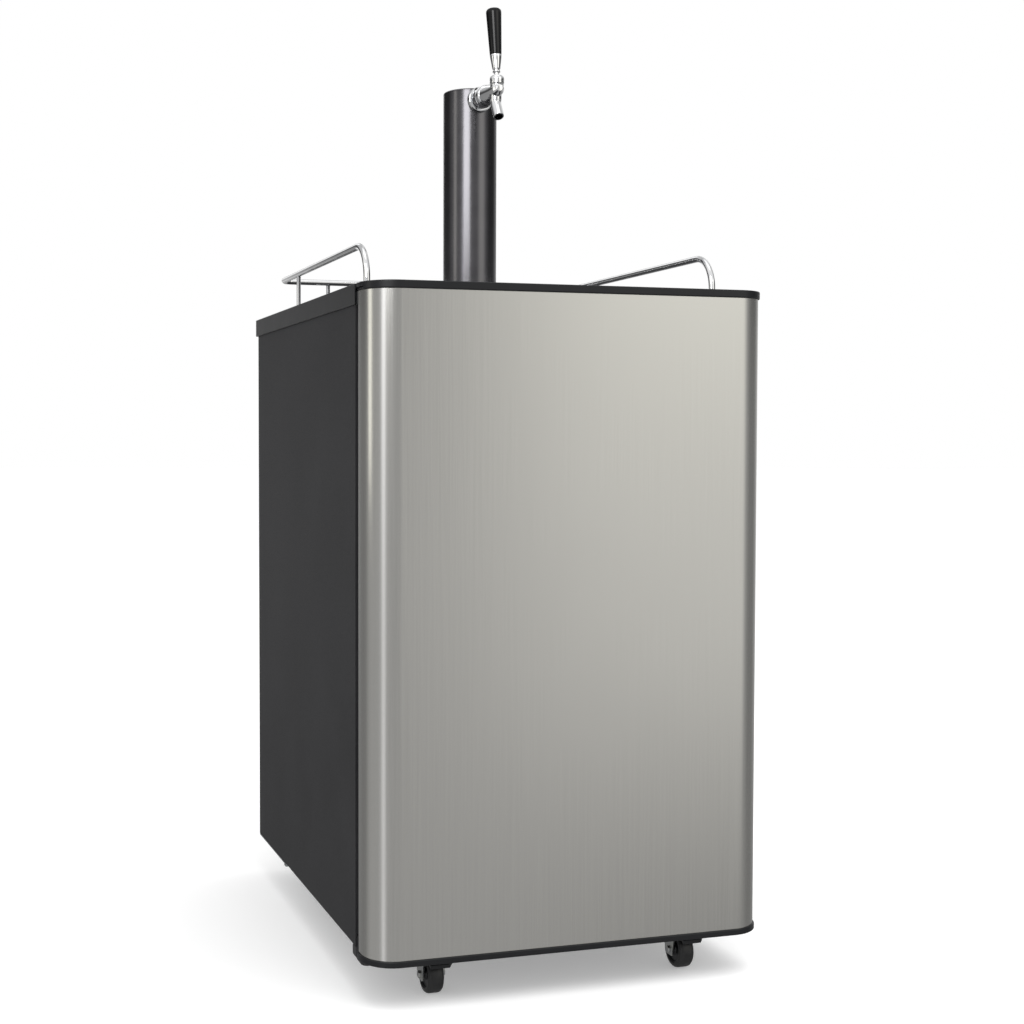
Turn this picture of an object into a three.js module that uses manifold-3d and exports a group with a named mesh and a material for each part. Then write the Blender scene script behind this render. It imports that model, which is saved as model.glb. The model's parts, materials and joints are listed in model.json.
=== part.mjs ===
// A single-tap kegerator: a refrigerated cabinet on four casters with a steel door,
// a draft tower with one faucet on its worktop, a guard rail, and the cooling machine behind.
// Millimetres, +Z up. The origin is on the floor, under the centre of the cabinet and door.
// +Y points to the back, and most depths are given as the distance behind the door's front face.

import * as THREE from "three";
import { mergeVertices } from "three/addons/utils/BufferGeometryUtils.js";
import Module from "manifold-3d";

const wasm = await Module();
wasm.setup();

// ---- Driving dimensions ----------------------------------------------------------------

const WIDTH = 523; // door caps and worktop
const DEPTH = 640; // door front to worktop rear
const WORKTOP_Z = 859; // top of the worktop's lip above the floor
const GAP = 0.3; // between pieces that touch
const SHEET = 1.2; // outer steel sheets

const DOOR_DEPTH = 52;
const DOOR_BOTTOM_Z = 51.3;
const DOOR_RADIUS = 42; // rounded vertical corners, seen from above
const DOOR_INSET = 2; // steel skin behind the caps' edge
const TOP_CAP = 9.5;
const BOTTOM_CAP = 7.5;
const HINGE = { x: -250, d: 44 };
const PIN_R = 4;

const CABINET = { half: 259.5, front: 64, rear: 632, bottom: 60.7, top: 846 };
const BACK_D = 606; // upper back panel
const MACHINE = { front: 500, top: 270 }; // compartment at the bottom rear
const CAVITY = { half: 215, front: 64.3, rear: 554, floor: 110, top: 800, stepD: 460, stepZ: 318 };
const LINER = 2;

const LIP = 3; // raised lip around the worktop
const SKIRT = 25; // height of the worktop's edge
const SURFACE_Z = WORKTOP_Z - LIP;
const TOWER = { d: 390, r: 38, wall: 1.5, top: 1169, duct: 30 };

const RAIL = { half: 234, front: 104, rear: 578, z: 914, r: 4.2, bend: 43, corner: 15 };
const RAIL_POST = { r: 3, sideD: 467, rearX: 162 };
const SOCKET = 2.5; // depth of the blind holes in which the rail's legs and posts stand

const SHANK = { z: 1152, r: 10, bore: 3.5, front: 325.3, rear: 402 };
const PIVOT = { d: 280, z: 1162.5, tilt: -8 };
const SPOUT = { d: 285, bendZ: 1134, endD: 272.5, endZ: 1113, r: 7.3, bore: 5.3 };

const TRAY = { half: 95, front: 182, rear: 332, bottom: 850.6, top: 869 };

const WHEEL = { r: 23.5, half: 10, sides: 24, bore: 4.3 };
const TRAIL = 27; // wheel axle ahead of the kingpin
const CASTER_X = 167;
const CASTER_D = { front: 80, rear: 575 };
const FORK = { half: 14.5, leg: 2.5, z0: 48.2, z1: 50.8 };

const back = (d) => d - DEPTH / 2;

// ---- Solids ----------------------------------------------------------------------------

// A closed three.js geometry as a manifold solid.
function solid(geometry) {
  const bare = new THREE.BufferGeometry();
  bare.setAttribute("position", geometry.getAttribute("position"));
  bare.setIndex(geometry.getIndex());
  const merged = mergeVertices(bare, 1e-4);
  const corners = merged.index.array;
  const kept = [];
  for (let i = 0; i < corners.length; i += 3) {
    const [a, b, c] = [corners[i], corners[i + 1], corners[i + 2]];
    if (a !== b && b !== c && c !== a) {
      kept.push(a, b, c);
    }
  }
  const mesh = new wasm.Mesh({
    numProp: 3,
    vertProperties: merged.attributes.position.array,
    triVerts: new Uint32Array(kept),
  });
  return new wasm.Manifold(mesh);
}

// A manifold solid as a three.js geometry with flat faces.
function geometryOf(body) {
  const mesh = body.getMesh();
  const indexed = new THREE.BufferGeometry();
  indexed.setAttribute("position", new THREE.BufferAttribute(mesh.vertProperties, 3));
  indexed.setIndex(new THREE.BufferAttribute(mesh.triVerts, 1));
  const flat = indexed.toNonIndexed();
  flat.computeVertexNormals();
  return flat;
}

function union(...bodies) {
  return bodies.reduce((whole, body) => whole.add(body));
}

function cut(body, ...tools) {
  return tools.reduce((whole, tool) => whole.subtract(tool), body);
}

// A box between two values of x, of depth behind the door's face, and of height.
function block(x0, x1, d0, d1, z0, z1) {
  const box = new THREE.BoxGeometry(x1 - x0, d1 - d0, z1 - z0);
  box.translate((x0 + x1) / 2, back((d0 + d1) / 2), (z0 + z1) / 2);
  return solid(box);
}

// The same box, symmetrical about the middle plane.
function wide(half, d0, d1, z0, z1) {
  return block(-half, half, d0, d1, z0, z1);
}

// An upright cylinder.
function post(x, d, z0, z1, r, sides = 24) {
  const rod = new THREE.CylinderGeometry(r, r, z1 - z0, sides);
  rod.rotateX(Math.PI / 2);
  rod.translate(x, back(d), (z0 + z1) / 2);
  return solid(rod);
}

// A cylinder along X.
function across(x0, x1, d, z, r, sides = 24) {
  const rod = new THREE.CylinderGeometry(r, r, x1 - x0, sides);
  rod.rotateZ(Math.PI / 2);
  rod.translate((x0 + x1) / 2, back(d), z);
  return solid(rod);
}

// A cylinder along Y.
function along(x, d0, d1, z, r, sides = 24) {
  const rod = new THREE.CylinderGeometry(r, r, d1 - d0, sides);
  rod.translate(x, back((d0 + d1) / 2), z);
  return solid(rod);
}

// A profile of [radius, height] points turned about an upright axis at x and d.
function turned(profile, x, d, sides = 32) {
  const lathe = new THREE.LatheGeometry(profile.map(([r, z]) => new THREE.Vector2(r, z)), sides);
  lathe.rotateX(Math.PI / 2);
  lathe.translate(x, back(d), 0);
  return solid(lathe);
}

// A flat outline seen from above, between two heights.
function slab(shape, z0, z1, steps = 8) {
  const options = { depth: z1 - z0, bevelEnabled: false, curveSegments: steps };
  const plate = new THREE.ExtrudeGeometry(shape, options);
  plate.translate(0, 0, z0);
  return solid(plate);
}

// An outline of [depth, height] points seen from the side, between two values of x.
function sideways(points, x0, x1) {
  const shape = new THREE.Shape(points.map(([d, z]) => new THREE.Vector2(back(d), z)));
  const plate = new THREE.ExtrudeGeometry(shape, { depth: x1 - x0, bevelEnabled: false });
  plate.applyMatrix4(new THREE.Matrix4().set(0, 0, 1, x0, 1, 0, 0, 0, 0, 1, 0, 0, 0, 0, 0, 1));
  return solid(plate);
}

// A route through points, with one section of a bar at each of them.
class Route extends THREE.Curve {
  constructor(points) {
    super();
    this.points = points;
  }

  getPoint(t) {
    const place = t * (this.points.length - 1);
    const first = Math.min(Math.floor(place), this.points.length - 2);
    return this.points[first].clone().lerp(this.points[first + 1], place - first);
  }

  getPointAt(u) {
    return this.getPoint(u);
  }

  getTangentAt(u) {
    const i = Math.round(u * (this.points.length - 1));
    const here = this.points[i];
    const before = this.points[Math.max(i - 1, 0)].clone().sub(here).normalize();
    const after = this.points[Math.min(i + 1, this.points.length - 1)].clone().sub(here).normalize();
    return after.sub(before).normalize();
  }
}

// A round bar along a route.
function bar(points, r, sides) {
  const section = new THREE.Shape();
  for (let i = 0; i < sides; i += 1) {
    const angle = (2 * Math.PI * (i + 0.5)) / sides;
    section[i ? "lineTo" : "moveTo"](r * Math.cos(angle), r * Math.sin(angle));
  }
  section.closePath();
  const options = { steps: points.length - 1, extrudePath: new Route(points), bevelEnabled: false };
  return solid(new THREE.ExtrudeGeometry(section, options));
}

// A route of straight runs whose corners are turned into arcs of a given number of chords.
// Each stop is [point, radius]; the ends' radii aren't used.
function rounded(stops, chords) {
  const points = [stops[0][0]];
  for (let i = 1; i < stops.length - 1; i += 1) {
    const [corner, r] = stops[i];
    const before = stops[i - 1][0].clone().sub(corner).normalize();
    const after = stops[i + 1][0].clone().sub(corner).normalize();
    const half = before.angleTo(after) / 2;
    const middle = before.clone().add(after).normalize();
    const centre = corner.clone().addScaledVector(middle, r / Math.sin(half));
    const start = corner.clone().addScaledVector(before, r / Math.tan(half)).sub(centre);
    const turn = Math.PI - 2 * half;
    const axis = new THREE.Vector3().crossVectors(after, before).normalize();
    for (let k = 0; k <= chords; k += 1) {
      points.push(start.clone().applyAxisAngle(axis, (turn * k) / chords).add(centre));
    }
  }
  points.push(stops[stops.length - 1][0]);
  return points;
}

const at = (x, d, z) => new THREE.Vector3(x, back(d), z);

// ---- Materials -------------------------------------------------------------------------

function finish(color, roughness, metalness) {
  return new THREE.MeshStandardMaterial({ color, roughness, metalness });
}

const STEEL = finish(0xb2b1ab, 0.35, 1);
const CHARCOAL = finish(0x37373a, 0.6, 0.1);
const CHROME = finish(0xe2e2e4, 0.08, 1);
const ZINC = finish(0xa9abae, 0.4, 1);
const BLACK_PLASTIC = finish(0x1c1d20, 0.45, 0);
const GLOSS_BLACK = finish(0x0c0c0e, 0.1, 0);
const BLACK_STEEL = finish(0x161618, 0.5, 0.2);
const WHITE_LINER = finish(0xe8e9e8, 0.4, 0);
const FOAM = finish(0xd9cf9e, 0.9, 0);
const RUBBER = finish(0x2b2c2e, 0.8, 0);
const GREY_RUBBER = finish(0x8c8e90, 0.7, 0);
const ALUMINIUM = finish(0xc5c8ca, 0.4, 1);
const GALVANISED = finish(0x9fa3a5, 0.45, 1);
const COPPER = finish(0xb5683c, 0.3, 1);

const kegerator = new THREE.Group();

function add(name, body, material) {
  const mesh = new THREE.Mesh(geometryOf(body), material);
  mesh.name = name;
  kegerator.add(mesh);
}

// ---- Cabinet ---------------------------------------------------------------------------

function ductHole(z0, z1, r = TOWER.duct) {
  return post(0, TOWER.d, z0, z1, r, 24);
}

// One wrap of painted sheet over both sides and the top, with flanges turned in front and rear.
function cabinetShell() {
  const { half, front, rear, bottom, top } = CABINET;
  const inside = wide(half - SHEET, front + SHEET, rear - SHEET, bottom - 5, top - SHEET);
  const doorway = wide(237, front - 1, front + 2, bottom - 5, 822);
  const openBack = wide(half - 13, rear - 2, rear + 1, bottom - 5, top - 13);
  return cut(wide(half, front, rear, bottom, top), inside, doorway, openBack, ductHole(840, 850));
}

// The upper back, the machine compartment's ceiling and its front wall, in one folded sheet.
function backPanel() {
  const half = CABINET.half - SHEET - GAP;
  const rear = BACK_D + SHEET;
  const low = CABINET.bottom + 2;
  return union(
    wide(half, BACK_D, rear, MACHINE.top, CABINET.top - SHEET - GAP),
    wide(half, MACHINE.front, rear, MACHINE.top, MACHINE.top + SHEET),
    wide(half, MACHINE.front, MACHINE.front + SHEET, low, MACHINE.top + SHEET),
  );
}

// The sheet under the keg space, turned up across the front as the sill.
function bottomPanel() {
  const low = CABINET.bottom + GAP;
  return union(
    wide(258, 66.2, MACHINE.front - GAP, low, low + SHEET),
    wide(236.7, CABINET.front + GAP, 66.5, low, 97.2),
  );
}

const MACHINE_BASE = { top: 60.4, bottom: 59, front: 448 };

// The plate that carries the compressor, with its corner tabs and the cord's upstand.
function machineBase() {
  const { top, bottom, front } = MACHINE_BASE;
  const half = CABINET.half;
  const upstand = block(200, 240, 626, 627.5, bottom, 98);
  return cut(
    union(
      wide(half, front, CABINET.rear, bottom, top),
      block(-half, -half + 9, front, front + 10, bottom - 2.8, bottom + 0.2),
      block(half - 9, half, front, front + 10, bottom - 2.8, bottom + 0.2),
      upstand,
    ),
    along(220, 620, 634, 82, 6.3, 16),
  );
}

// The moulded inner box: a front flange, the keg space, and the step over the machine.
function innerLiner() {
  const { half, front, rear, floor, top, stepD, stepZ } = CAVITY;
  const outer = union(
    wide(236.7, front, front + LINER, 97.5, 821.7),
    wide(half + LINER, front, stepD + LINER, floor - LINER, top + LINER),
    wide(half + LINER, stepD, rear + LINER, stepZ - LINER, top + LINER),
  );
  return cut(
    outer,
    wide(half, front - 2, stepD, floor, top),
    wide(half, stepD - 1, rear, stepZ, top),
    ductHole(top - 5, top + 5),
  );
}

// Foam between the outer sheets and the liner, open to the front behind the flanges.
function insulation() {
  const { half, rear, floor, top, stepD, stepZ } = CAVITY;
  const out = LINER + GAP;
  const side = CABINET.half - SHEET - 2 * GAP;
  const front = CABINET.front + SHEET + 1.6;
  const ceiling = CABINET.top - SHEET - 2 * GAP;
  const body = union(
    wide(side, front, MACHINE.front - GAP, CABINET.bottom + 4.2, ceiling),
    wide(side, MACHINE.front - 1, BACK_D - GAP, MACHINE.top + SHEET + GAP, ceiling),
  );
  return cut(
    body,
    wide(half + out, front - 1, stepD + out, floor - out, top + out),
    wide(half + out, stepD, rear + out, stepZ - out, top + out),
    ductHole(top, CABINET.top),
  );
}

function kegFloorPlate() {
  const { floor, stepD } = CAVITY;
  const plate = wide(196, 78, stepD - 8, floor + GAP, floor + 2.3);
  const ribs = [-130, 0, 130].map((x) => block(x - 5, x + 5, 90, stepD - 20, floor + 2, floor + 3.4));
  return union(plate, ...ribs);
}

function evaporatorPlate() {
  const plate = wide(150, 540, 542.2, 470, 770);
  const pegs = [];
  for (const x of [-130, 130]) {
    for (const z of [490, 750]) {
      pegs.push(along(x, 541, CAVITY.rear - GAP, z, 6, 12));
    }
  }
  return union(plate, ...pegs);
}

const THERMOSTAT = { x: 166, front: 120, rear: 232, bottom: 728, top: 796 };

function thermostatHousing() {
  const { x, front, rear, bottom, top } = THERMOSTAT;
  const knobHole = across(x - 1, x + 12, 150, 762, 4.4, 16);
  return cut(block(x, CAVITY.half - GAP, front, rear, bottom, top), knobHole);
}

function thermostatKnob() {
  const { x } = THERMOSTAT;
  const grip = union(
    across(x - 14, x - 0.6, 150, 762, 17, 24),
    block(x - 19, x - 10, 134, 166, 759.5, 764.5),
  );
  return union(grip, across(x - 2, x + 11, 150, 762, 4, 16));
}

// ---- Worktop, guard rail and drip tray ---------------------------------------------------

function worktop() {
  const half = WIDTH / 2;
  const under = CABINET.top + GAP;
  const body = wide(half, 60, DEPTH, WORKTOP_Z - SKIRT, WORKTOP_Z);
  const hollow = wide(half - 1.7, 63.7, DEPTH - 7.7, WORKTOP_Z - SKIRT - 5, under);
  const surface = wide(half - 7.5, 68, DEPTH - 8, SURFACE_Z, WORKTOP_Z + 1);
  const hingePocket = block(-259.4, -240.5, 59, 108, WORKTOP_Z - SKIRT - 5, 853.4);
  const trayWell = wide(TRAY.half + 3, TRAY.front - 3, TRAY.rear + 3, TRAY.bottom - GAP, WORKTOP_Z);
  const sockets = [-1, 1].flatMap((side) => [
    socket(side * RAIL.half, RAIL.front, RAIL.r),
    socket(side * RAIL.half, RAIL_POST.sideD, RAIL_POST.r),
    socket(side * RAIL_POST.rearX, RAIL.rear, RAIL_POST.r),
  ]);
  return cut(body, hollow, surface, hingePocket, trayWell, ductHole(830, 870), ...sockets);
}

function socket(x, d, r) {
  return post(x, d, SURFACE_Z - SOCKET, SURFACE_Z + 1, r + 1.5 * GAP, 12);
}

// One tube: up at the front left, round the back and down at the front right.
function guardRail() {
  const { half, front, rear, z, r, bend, corner } = RAIL;
  const foot = SURFACE_Z - SOCKET + GAP;
  const path = rounded([
    [at(-half, front, foot), 0],
    [at(-half, front, z), bend],
    [at(-half, rear, z), corner],
    [at(half, rear, z), corner],
    [at(half, front, z), bend],
    [at(half, front, foot), 0],
  ], 6);
  return bar(path, r, 8);
}

function railPost(x, d) {
  return post(x, d, SURFACE_Z - SOCKET + GAP, RAIL.z - RAIL.r - GAP, RAIL_POST.r, 12);
}

function dripTray() {
  const { half, front, rear, bottom, top } = TRAY;
  const wall = 2.5;
  const bowl = wide(half - wall, front + wall, rear - wall, bottom + wall, top + 1);
  const ledge = wide(half - 1.2, front + 1.2, rear - 1.2, top - 3.4, top + 1);
  return cut(wide(half, front, rear, bottom, top), bowl, ledge);
}

function dripGrille() {
  const { half, front, rear, top } = TRAY;
  const edge = 1.6;
  const plate = wide(half - edge, front + edge, rear - edge, top - 3, top - 0.6);
  const slots = [];
  for (let i = -4; i <= 4; i += 1) {
    slots.push(block(i * 19 - 5.5, i * 19 + 5.5, front + 14, rear - 14, top - 5, top));
  }
  return cut(plate, ...slots);
}

// ---- Tower and faucet --------------------------------------------------------------------

function towerFlange() {
  const [inner, outer] = [TOWER.r + GAP, 56];
  const z = SURFACE_Z + GAP;
  const profile = [
    [inner, z],
    [outer, z],
    [outer, z + 5],
    [inner + 4, z + 10],
    [inner, z + 10],
    [inner, z],
  ];
  return turned(profile, 0, TOWER.d, 36);
}

function towerColumn() {
  const { d, r, wall, top } = TOWER;
  const z = SURFACE_Z + GAP;
  return cut(
    post(0, d, z, top - 2.7, r, 36),
    post(0, d, z - 1, top, r - wall, 36),
    along(0, d - r - 5, d, SHANK.z, SHANK.r + 0.4, 20),
  );
}

function towerCap() {
  const { d, r, top } = TOWER;
  return union(post(0, d, top - 2.4, top - 0.8, r, 36), post(0, d, top - 1, top, r - 1, 36));
}

// The threaded tube that carries beer through the tower's wall to the faucet.
function shank() {
  const { z, r, bore, front, rear } = SHANK;
  const tail = along(0, rear - 1, rear + 14, z, 5, 12);
  const barb = along(0, rear + 6, rear + 9, z, 6, 12);
  return cut(union(along(0, front, rear, z, r), tail, barb), along(0, front - 1, rear + 15, z, bore, 12));
}

// A ring around the shank.
function ring(d0, d1, outer, sides) {
  const hole = along(0, d0 - 1, d1 + 1, SHANK.z, SHANK.r + GAP, 24);
  return cut(along(0, d0, d1, SHANK.z, outer, sides), hole);
}

// The ring that pulls the faucet's rear flange against the shank, with spanner notches.
function couplingNut() {
  const [front, rear, r] = [316.5, 339, 14.6];
  const nut = cut(
    along(0, front, rear, SHANK.z, r, 28),
    along(0, 322, rear + 1, SHANK.z, SHANK.r + GAP, 24),
    along(0, front - 1, 323, SHANK.z, 8.9, 24),
  );
  const notches = [];
  for (let i = 0; i < 6; i += 1) {
    const angle = (i * Math.PI) / 3;
    notches.push(along(r * Math.cos(angle), 330, rear + 1, SHANK.z + r * Math.sin(angle), 2.2, 8));
  }
  return cut(nut, ...notches);
}

// Rear flange, body, neck for the bonnet and the spout, all bored through.
function faucetBody() {
  const { z } = SHANK;
  const { d } = PIVOT;
  const nose = new THREE.SphereGeometry(9.7, 20, 12);
  nose.translate(0, back(d), z - 0.5);
  const casting = union(
    along(0, 322.3, 325, z, 9.9),
    along(0, 308, 323, z, 8.5),
    along(0, d, 315.5, z, 9.7),
    solid(nose),
    along(0, d - 12.5, d, z - 1, 5.6, 20),
    spoutBar(z, SPOUT.r, 0, 20),
  );
  const bonnetRoom = post(0, d, BONNET.bottom - GAP, 1170, BONNET.r + GAP, 28);
  return cut(
    union(cut(casting, bonnetRoom), post(0, d, z, BONNET.web - GAP, BONNET.inner - GAP, 24)),
    along(0, 310, 326, z, 6, 16),
    along(0, 300, 312, z, 4.2, 16),
    along(0, d - 9, 304, z, 6, 16),
    post(0, d, z, 1168, 5.4, 20),
    spoutBar(z - 4, SPOUT.bore, 3, 16),
  );
}

// Down behind the lever, then bent forward; it can run past the end of the spout.
function spoutBar(top, r, past, sides) {
  const bend = at(0, SPOUT.d, SPOUT.bendZ);
  const end = at(0, SPOUT.endD, SPOUT.endZ);
  const beyond = end.clone().sub(bend).setLength(past);
  return bar(rounded([[at(0, SPOUT.d, top), 0], [bend, 16], [end.add(beyond), 0]], 5), r, sides);
}

const BONNET = { r: 9.8, inner: 8, bottom: 1158.8, web: 1166, top: 1169.8 };

// The screwed cap over the lever's ball, open in a cone for the lever to swing.
function faucetBonnet() {
  const { r, inner, bottom, web, top } = BONNET;
  const profile = [
    [inner, bottom],
    [r, bottom],
    [r, top - 3],
    [r - 1.8, top],
    [7.4, top],
    [5.4, web],
    [inner, web],
    [inner, bottom],
  ];
  return turned(profile, 0, PIVOT.d, 28);
}

// Pieces on the lever are made upright around the pivot, then leant back as it is when shut.
function leant(body) {
  const pivot = [0, back(PIVOT.d), PIVOT.z];
  return body
    .translate(pivot.map((v) => -v))
    .rotate([PIVOT.tilt, 0, 0])
    .translate(pivot);
}

function stemProfile(points) {
  return turned(points.map(([r, s]) => [r, PIVOT.z + s]), 0, PIVOT.d, 24);
}

function faucetLever() {
  const ball = new THREE.SphereGeometry(4.8, 16, 10);
  ball.translate(0, back(PIVOT.d), PIVOT.z);
  const stem = stemProfile([[0, -11.5], [2, -11.5], [2, -4], [2.8, 0], [2.8, 12], [5.2, 12], [5.2, 14.4],
    [3.5, 15.4], [3.5, 30], [0, 30]]);
  return leant(union(solid(ball), stem));
}

function handleFerrule() {
  const profile = [[3.8, 17], [5.6, 17], [6.6, 24], [8, 36.7], [3.8, 36.7], [3.8, 17]];
  return leant(stemProfile(profile));
}

function tapHandle() {
  const profile = [[0, 37], [8, 37], [10.6, 99.4], [8.8, 101], [0, 101.4]];
  return leant(stemProfile(profile));
}

// The sliding shaft whose rear disc shuts the seat; the lever's tip works in its slot.
function faucetPlunger() {
  const { z } = SHANK;
  const guide = along(0, 271.4, 292, z, 5.6, 16);
  const slot = block(-2.7, 2.7, 273.4, 287.6, z - 3.6, z + 7);
  const ballRoom = block(-7, 7, 272.5, 289.5, z + 4, z + 7);
  return union(cut(guide, slot, ballRoom), along(0, 291, 311, z, 2.5, 12), along(0, 310.4, 314, z, 5.5, 16));
}

// ---- Door --------------------------------------------------------------------------------

// The door seen from above: a straight back and two rounded front corners.
function doorOutline(inset, rearInset = 0) {
  const half = WIDTH / 2 - inset;
  const r = DOOR_RADIUS - inset;
  const [front, rear] = [back(inset), back(DOOR_DEPTH - rearInset)];
  const shape = new THREE.Shape();
  shape.moveTo(-half, rear);
  shape.lineTo(-half, front + r);
  shape.absarc(-half + r, front + r, r, Math.PI, 1.5 * Math.PI, false);
  shape.lineTo(half - r, front);
  shape.absarc(half - r, front + r, r, 1.5 * Math.PI, 2 * Math.PI, false);
  shape.lineTo(half, rear);
  shape.closePath();
  return shape;
}

const DOOR_CORE = { bottom: DOOR_BOTTOM_Z + BOTTOM_CAP + GAP, top: WORKTOP_Z - TOP_CAP - GAP };
const POCKET = { x: 233, front: 25.5, rear: 48.5, bottom: 410, top: 600, wall: 2 };
const PAN = { half: 200, floor: 40, bottom: 118, top: 790 }; // recess in the door's inner face

function pocketVolume(grow) {
  const { x, front, rear, bottom, top } = POCKET;
  return block(x - grow, WIDTH / 2 + 5, front - grow, rear + grow, bottom - grow, top + grow);
}

function doorSkin() {
  const { bottom, top } = DOOR_CORE;
  return cut(
    slab(doorOutline(DOOR_INSET, DOOR_INSET), bottom, top),
    slab(doorOutline(DOOR_INSET + SHEET, -1), bottom - 1, top + 1),
    pocketVolume(GAP),
  );
}

// Foam behind the steel, with the hinge bores, the finger pocket and the inner recess left free.
function doorCore() {
  const bottom = DOOR_CORE.bottom + 1;
  const top = DOOR_CORE.top - 1;
  const panRoom = PAN.half + LINER + GAP;
  return cut(
    slab(doorOutline(DOOR_INSET + SHEET + GAP, LINER + GAP), bottom, top),
    wide(panRoom, PAN.floor - GAP, 60, PAN.bottom - LINER - GAP, PAN.top + LINER + GAP),
    pocketVolume(GAP),
    post(HINGE.x, HINGE.d, bottom - 1, 80, PIN_R + 0.5),
    post(HINGE.x, HINGE.d, 826, top + 1, PIN_R + 0.5),
  );
}

function doorLiner() {
  const { half, floor, bottom, top } = PAN;
  const rear = DOOR_DEPTH;
  const [low, high] = [DOOR_CORE.bottom + 1, DOOR_CORE.top - 1];
  const sheet = wide(258, rear - LINER, rear, low, high);
  const pan = wide(half + LINER, floor, rear, bottom - LINER, top + LINER);
  return cut(
    union(sheet, pan),
    wide(half, floor + LINER, rear + 5, bottom, top),
    post(HINGE.x, HINGE.d, low - 1, 80, PIN_R + 0.5),
    post(HINGE.x, HINGE.d, 826, high + 1, PIN_R + 0.5),
  );
}

// The space the top hinge's arm sweeps through, seen from above, as the door turns.
function armSweep() {
  const points = [[-241, 53], [-241, 38], [-246.6, 35], [-265, 27], [-265, 53]];
  return new THREE.Shape(points.map(([x, d]) => new THREE.Vector2(x, back(d))));
}

function doorTopCap() {
  const bottom = WORKTOP_Z - TOP_CAP;
  return cut(slab(doorOutline(0), bottom, WORKTOP_Z), slab(armSweep(), bottom - 1, bottom + 4.2));
}

function doorBottomCap() {
  const top = DOOR_BOTTOM_Z + BOTTOM_CAP;
  return cut(
    slab(doorOutline(0), DOOR_BOTTOM_Z, top),
    post(HINGE.x, HINGE.d, DOOR_BOTTOM_Z - 1, top + 1, PIN_R + 0.4),
  );
}

function doorGasket() {
  const [outer, inner] = [246, 222];
  const [front, rear] = [DOOR_DEPTH + GAP, CABINET.front - 0.6];
  return cut(wide(outer, front, rear, 80, 826), wide(inner, front - 1, rear + 1, 104, 806));
}

// The cup let into the door's right edge for the fingers.
function handlePocket() {
  const { x, front, rear, bottom, top, wall } = POCKET;
  const outline = slab(doorOutline(DOOR_INSET), bottom - 5, top + 5, 12);
  const room = block(x + wall, WIDTH / 2 + 6, front + wall, rear - wall, bottom + wall, top - wall);
  return cut(pocketVolume(0).intersect(outline), room);
}

// A plate on top of the cabinet, an arm over the door's skin and the pin.
function topHinge() {
  const { x, d } = HINGE;
  const half = 8;
  const arm = [850.1, 853];
  return union(
    block(x - half, x + half, 60.4, 105, CABINET.top + GAP, 849.4),
    block(x - half, x + half, 60.4, 63.6, 832, arm[1]),
    block(x - half, x + half, d, 63.6, ...arm),
    post(x, d, ...arm, half, 24),
    post(x, d, 829, arm[1], PIN_R, 16),
  );
}

// A plate on the cabinet's front, an arm under the door, a washer and the pin.
function bottomHinge() {
  const { x, d } = HINGE;
  const half = 8;
  const arm = [45.4, 48.4];
  return union(
    block(x - half, -234, 60.4, 63.6, arm[0], 75),
    block(x - half, x + half, d, 63.6, ...arm),
    post(x, d, ...arm, half, 24),
    post(x, d, arm[1] - 0.1, DOOR_BOTTOM_Z - GAP, 7, 16),
    post(x, d, arm[0], 76, PIN_R, 16),
  );
}

// ---- Cooling machine -----------------------------------------------------------------------

const COMPRESSOR = { x: -30, d: 566, r: 57, stretch: 1.45 };

function compressor() {
  const { x, d, r, stretch } = COMPRESSOR;
  const profile = [[0, 78], [r * 0.6, 79], [r * 0.93, 92], [r * 0.97, 140], [r, 142], [r, 148], [r * 0.97, 150],
    [r * 0.9, 205], [r * 0.6, 226], [0, 231]];
  const can = turned(profile, 0, DEPTH / 2, 24).scale([stretch, 1, 1]).translate([x, back(d), 0]);
  const feet = [];
  for (const dx of [-88, 88]) {
    for (const dd of [-46, 46]) {
      feet.push(post(x + dx, d + dd, MACHINE_BASE.top + GAP, 80, 8, 12));
    }
  }
  const saddle = block(x - 40, x + 40, d - 30, d + 30, 76, 90);
  return union(can, saddle, block(x - 98, x + 98, d - 54, d + 54, 74, 77), ...feet);
}

function relayCover() {
  const x = COMPRESSOR.x + COMPRESSOR.r * COMPRESSOR.stretch + 1;
  return block(x, x + 30, 545, 588, 108, 178);
}

function condensatePan() {
  const { x } = COMPRESSOR;
  const [z0, z1] = [231.4, 252];
  const body = block(x - 78, x + 78, 522, 610, z0, z1);
  return cut(body, block(x - 76, x + 76, 524, 608, z0 + 2, z1 + 1));
}

function filterDrier() {
  const profile = [[0, 92], [2.4, 92], [2.4, 100], [9, 112], [9, 182], [2.4, 194], [2.4, 202], [0, 202]];
  return turned(profile, 130, 556, 16);
}

const COIL = { half: 205, d: 619, bottom: 310, top: 810, runs: 8, r: 2.4, wires: 5 };

// A tube folded back and forth, with upright wires welded across it and four feet.
function condenserCoil() {
  const { half, d, bottom, top, runs, r, wires } = COIL;
  const pitch = (top - bottom) / (runs - 1);
  const bend = pitch / 2 - 0.5;
  const stops = [[at(-half, d, bottom), 0]];
  for (let i = 0; i < runs; i += 1) {
    const side = i % 2 ? -half : half;
    const z = bottom + i * pitch;
    stops.push([at(side, d, z), i === runs - 1 ? 0 : bend]);
    if (i < runs - 1) {
      stops.push([at(side, d, z + pitch), bend]);
    }
  }
  const pieces = [bar(rounded(stops, 3), r, 6)];
  for (let i = 0; i < wires; i += 1) {
    const x = -half + 40 + (i * (2 * half - 80)) / (wires - 1);
    pieces.push(block(x - 0.8, x + 0.8, d - r - 1.2, d - r + 0.6, bottom - 8, top + 8));
  }
  for (const x of [-half + 40, half - 40]) {
    for (const z of [bottom + 30, top - 30]) {
      pieces.push(block(x - 4, x + 4, BACK_D + SHEET + GAP, d - r, z - 4, z + 4));
    }
  }
  return union(...pieces);
}

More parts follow.
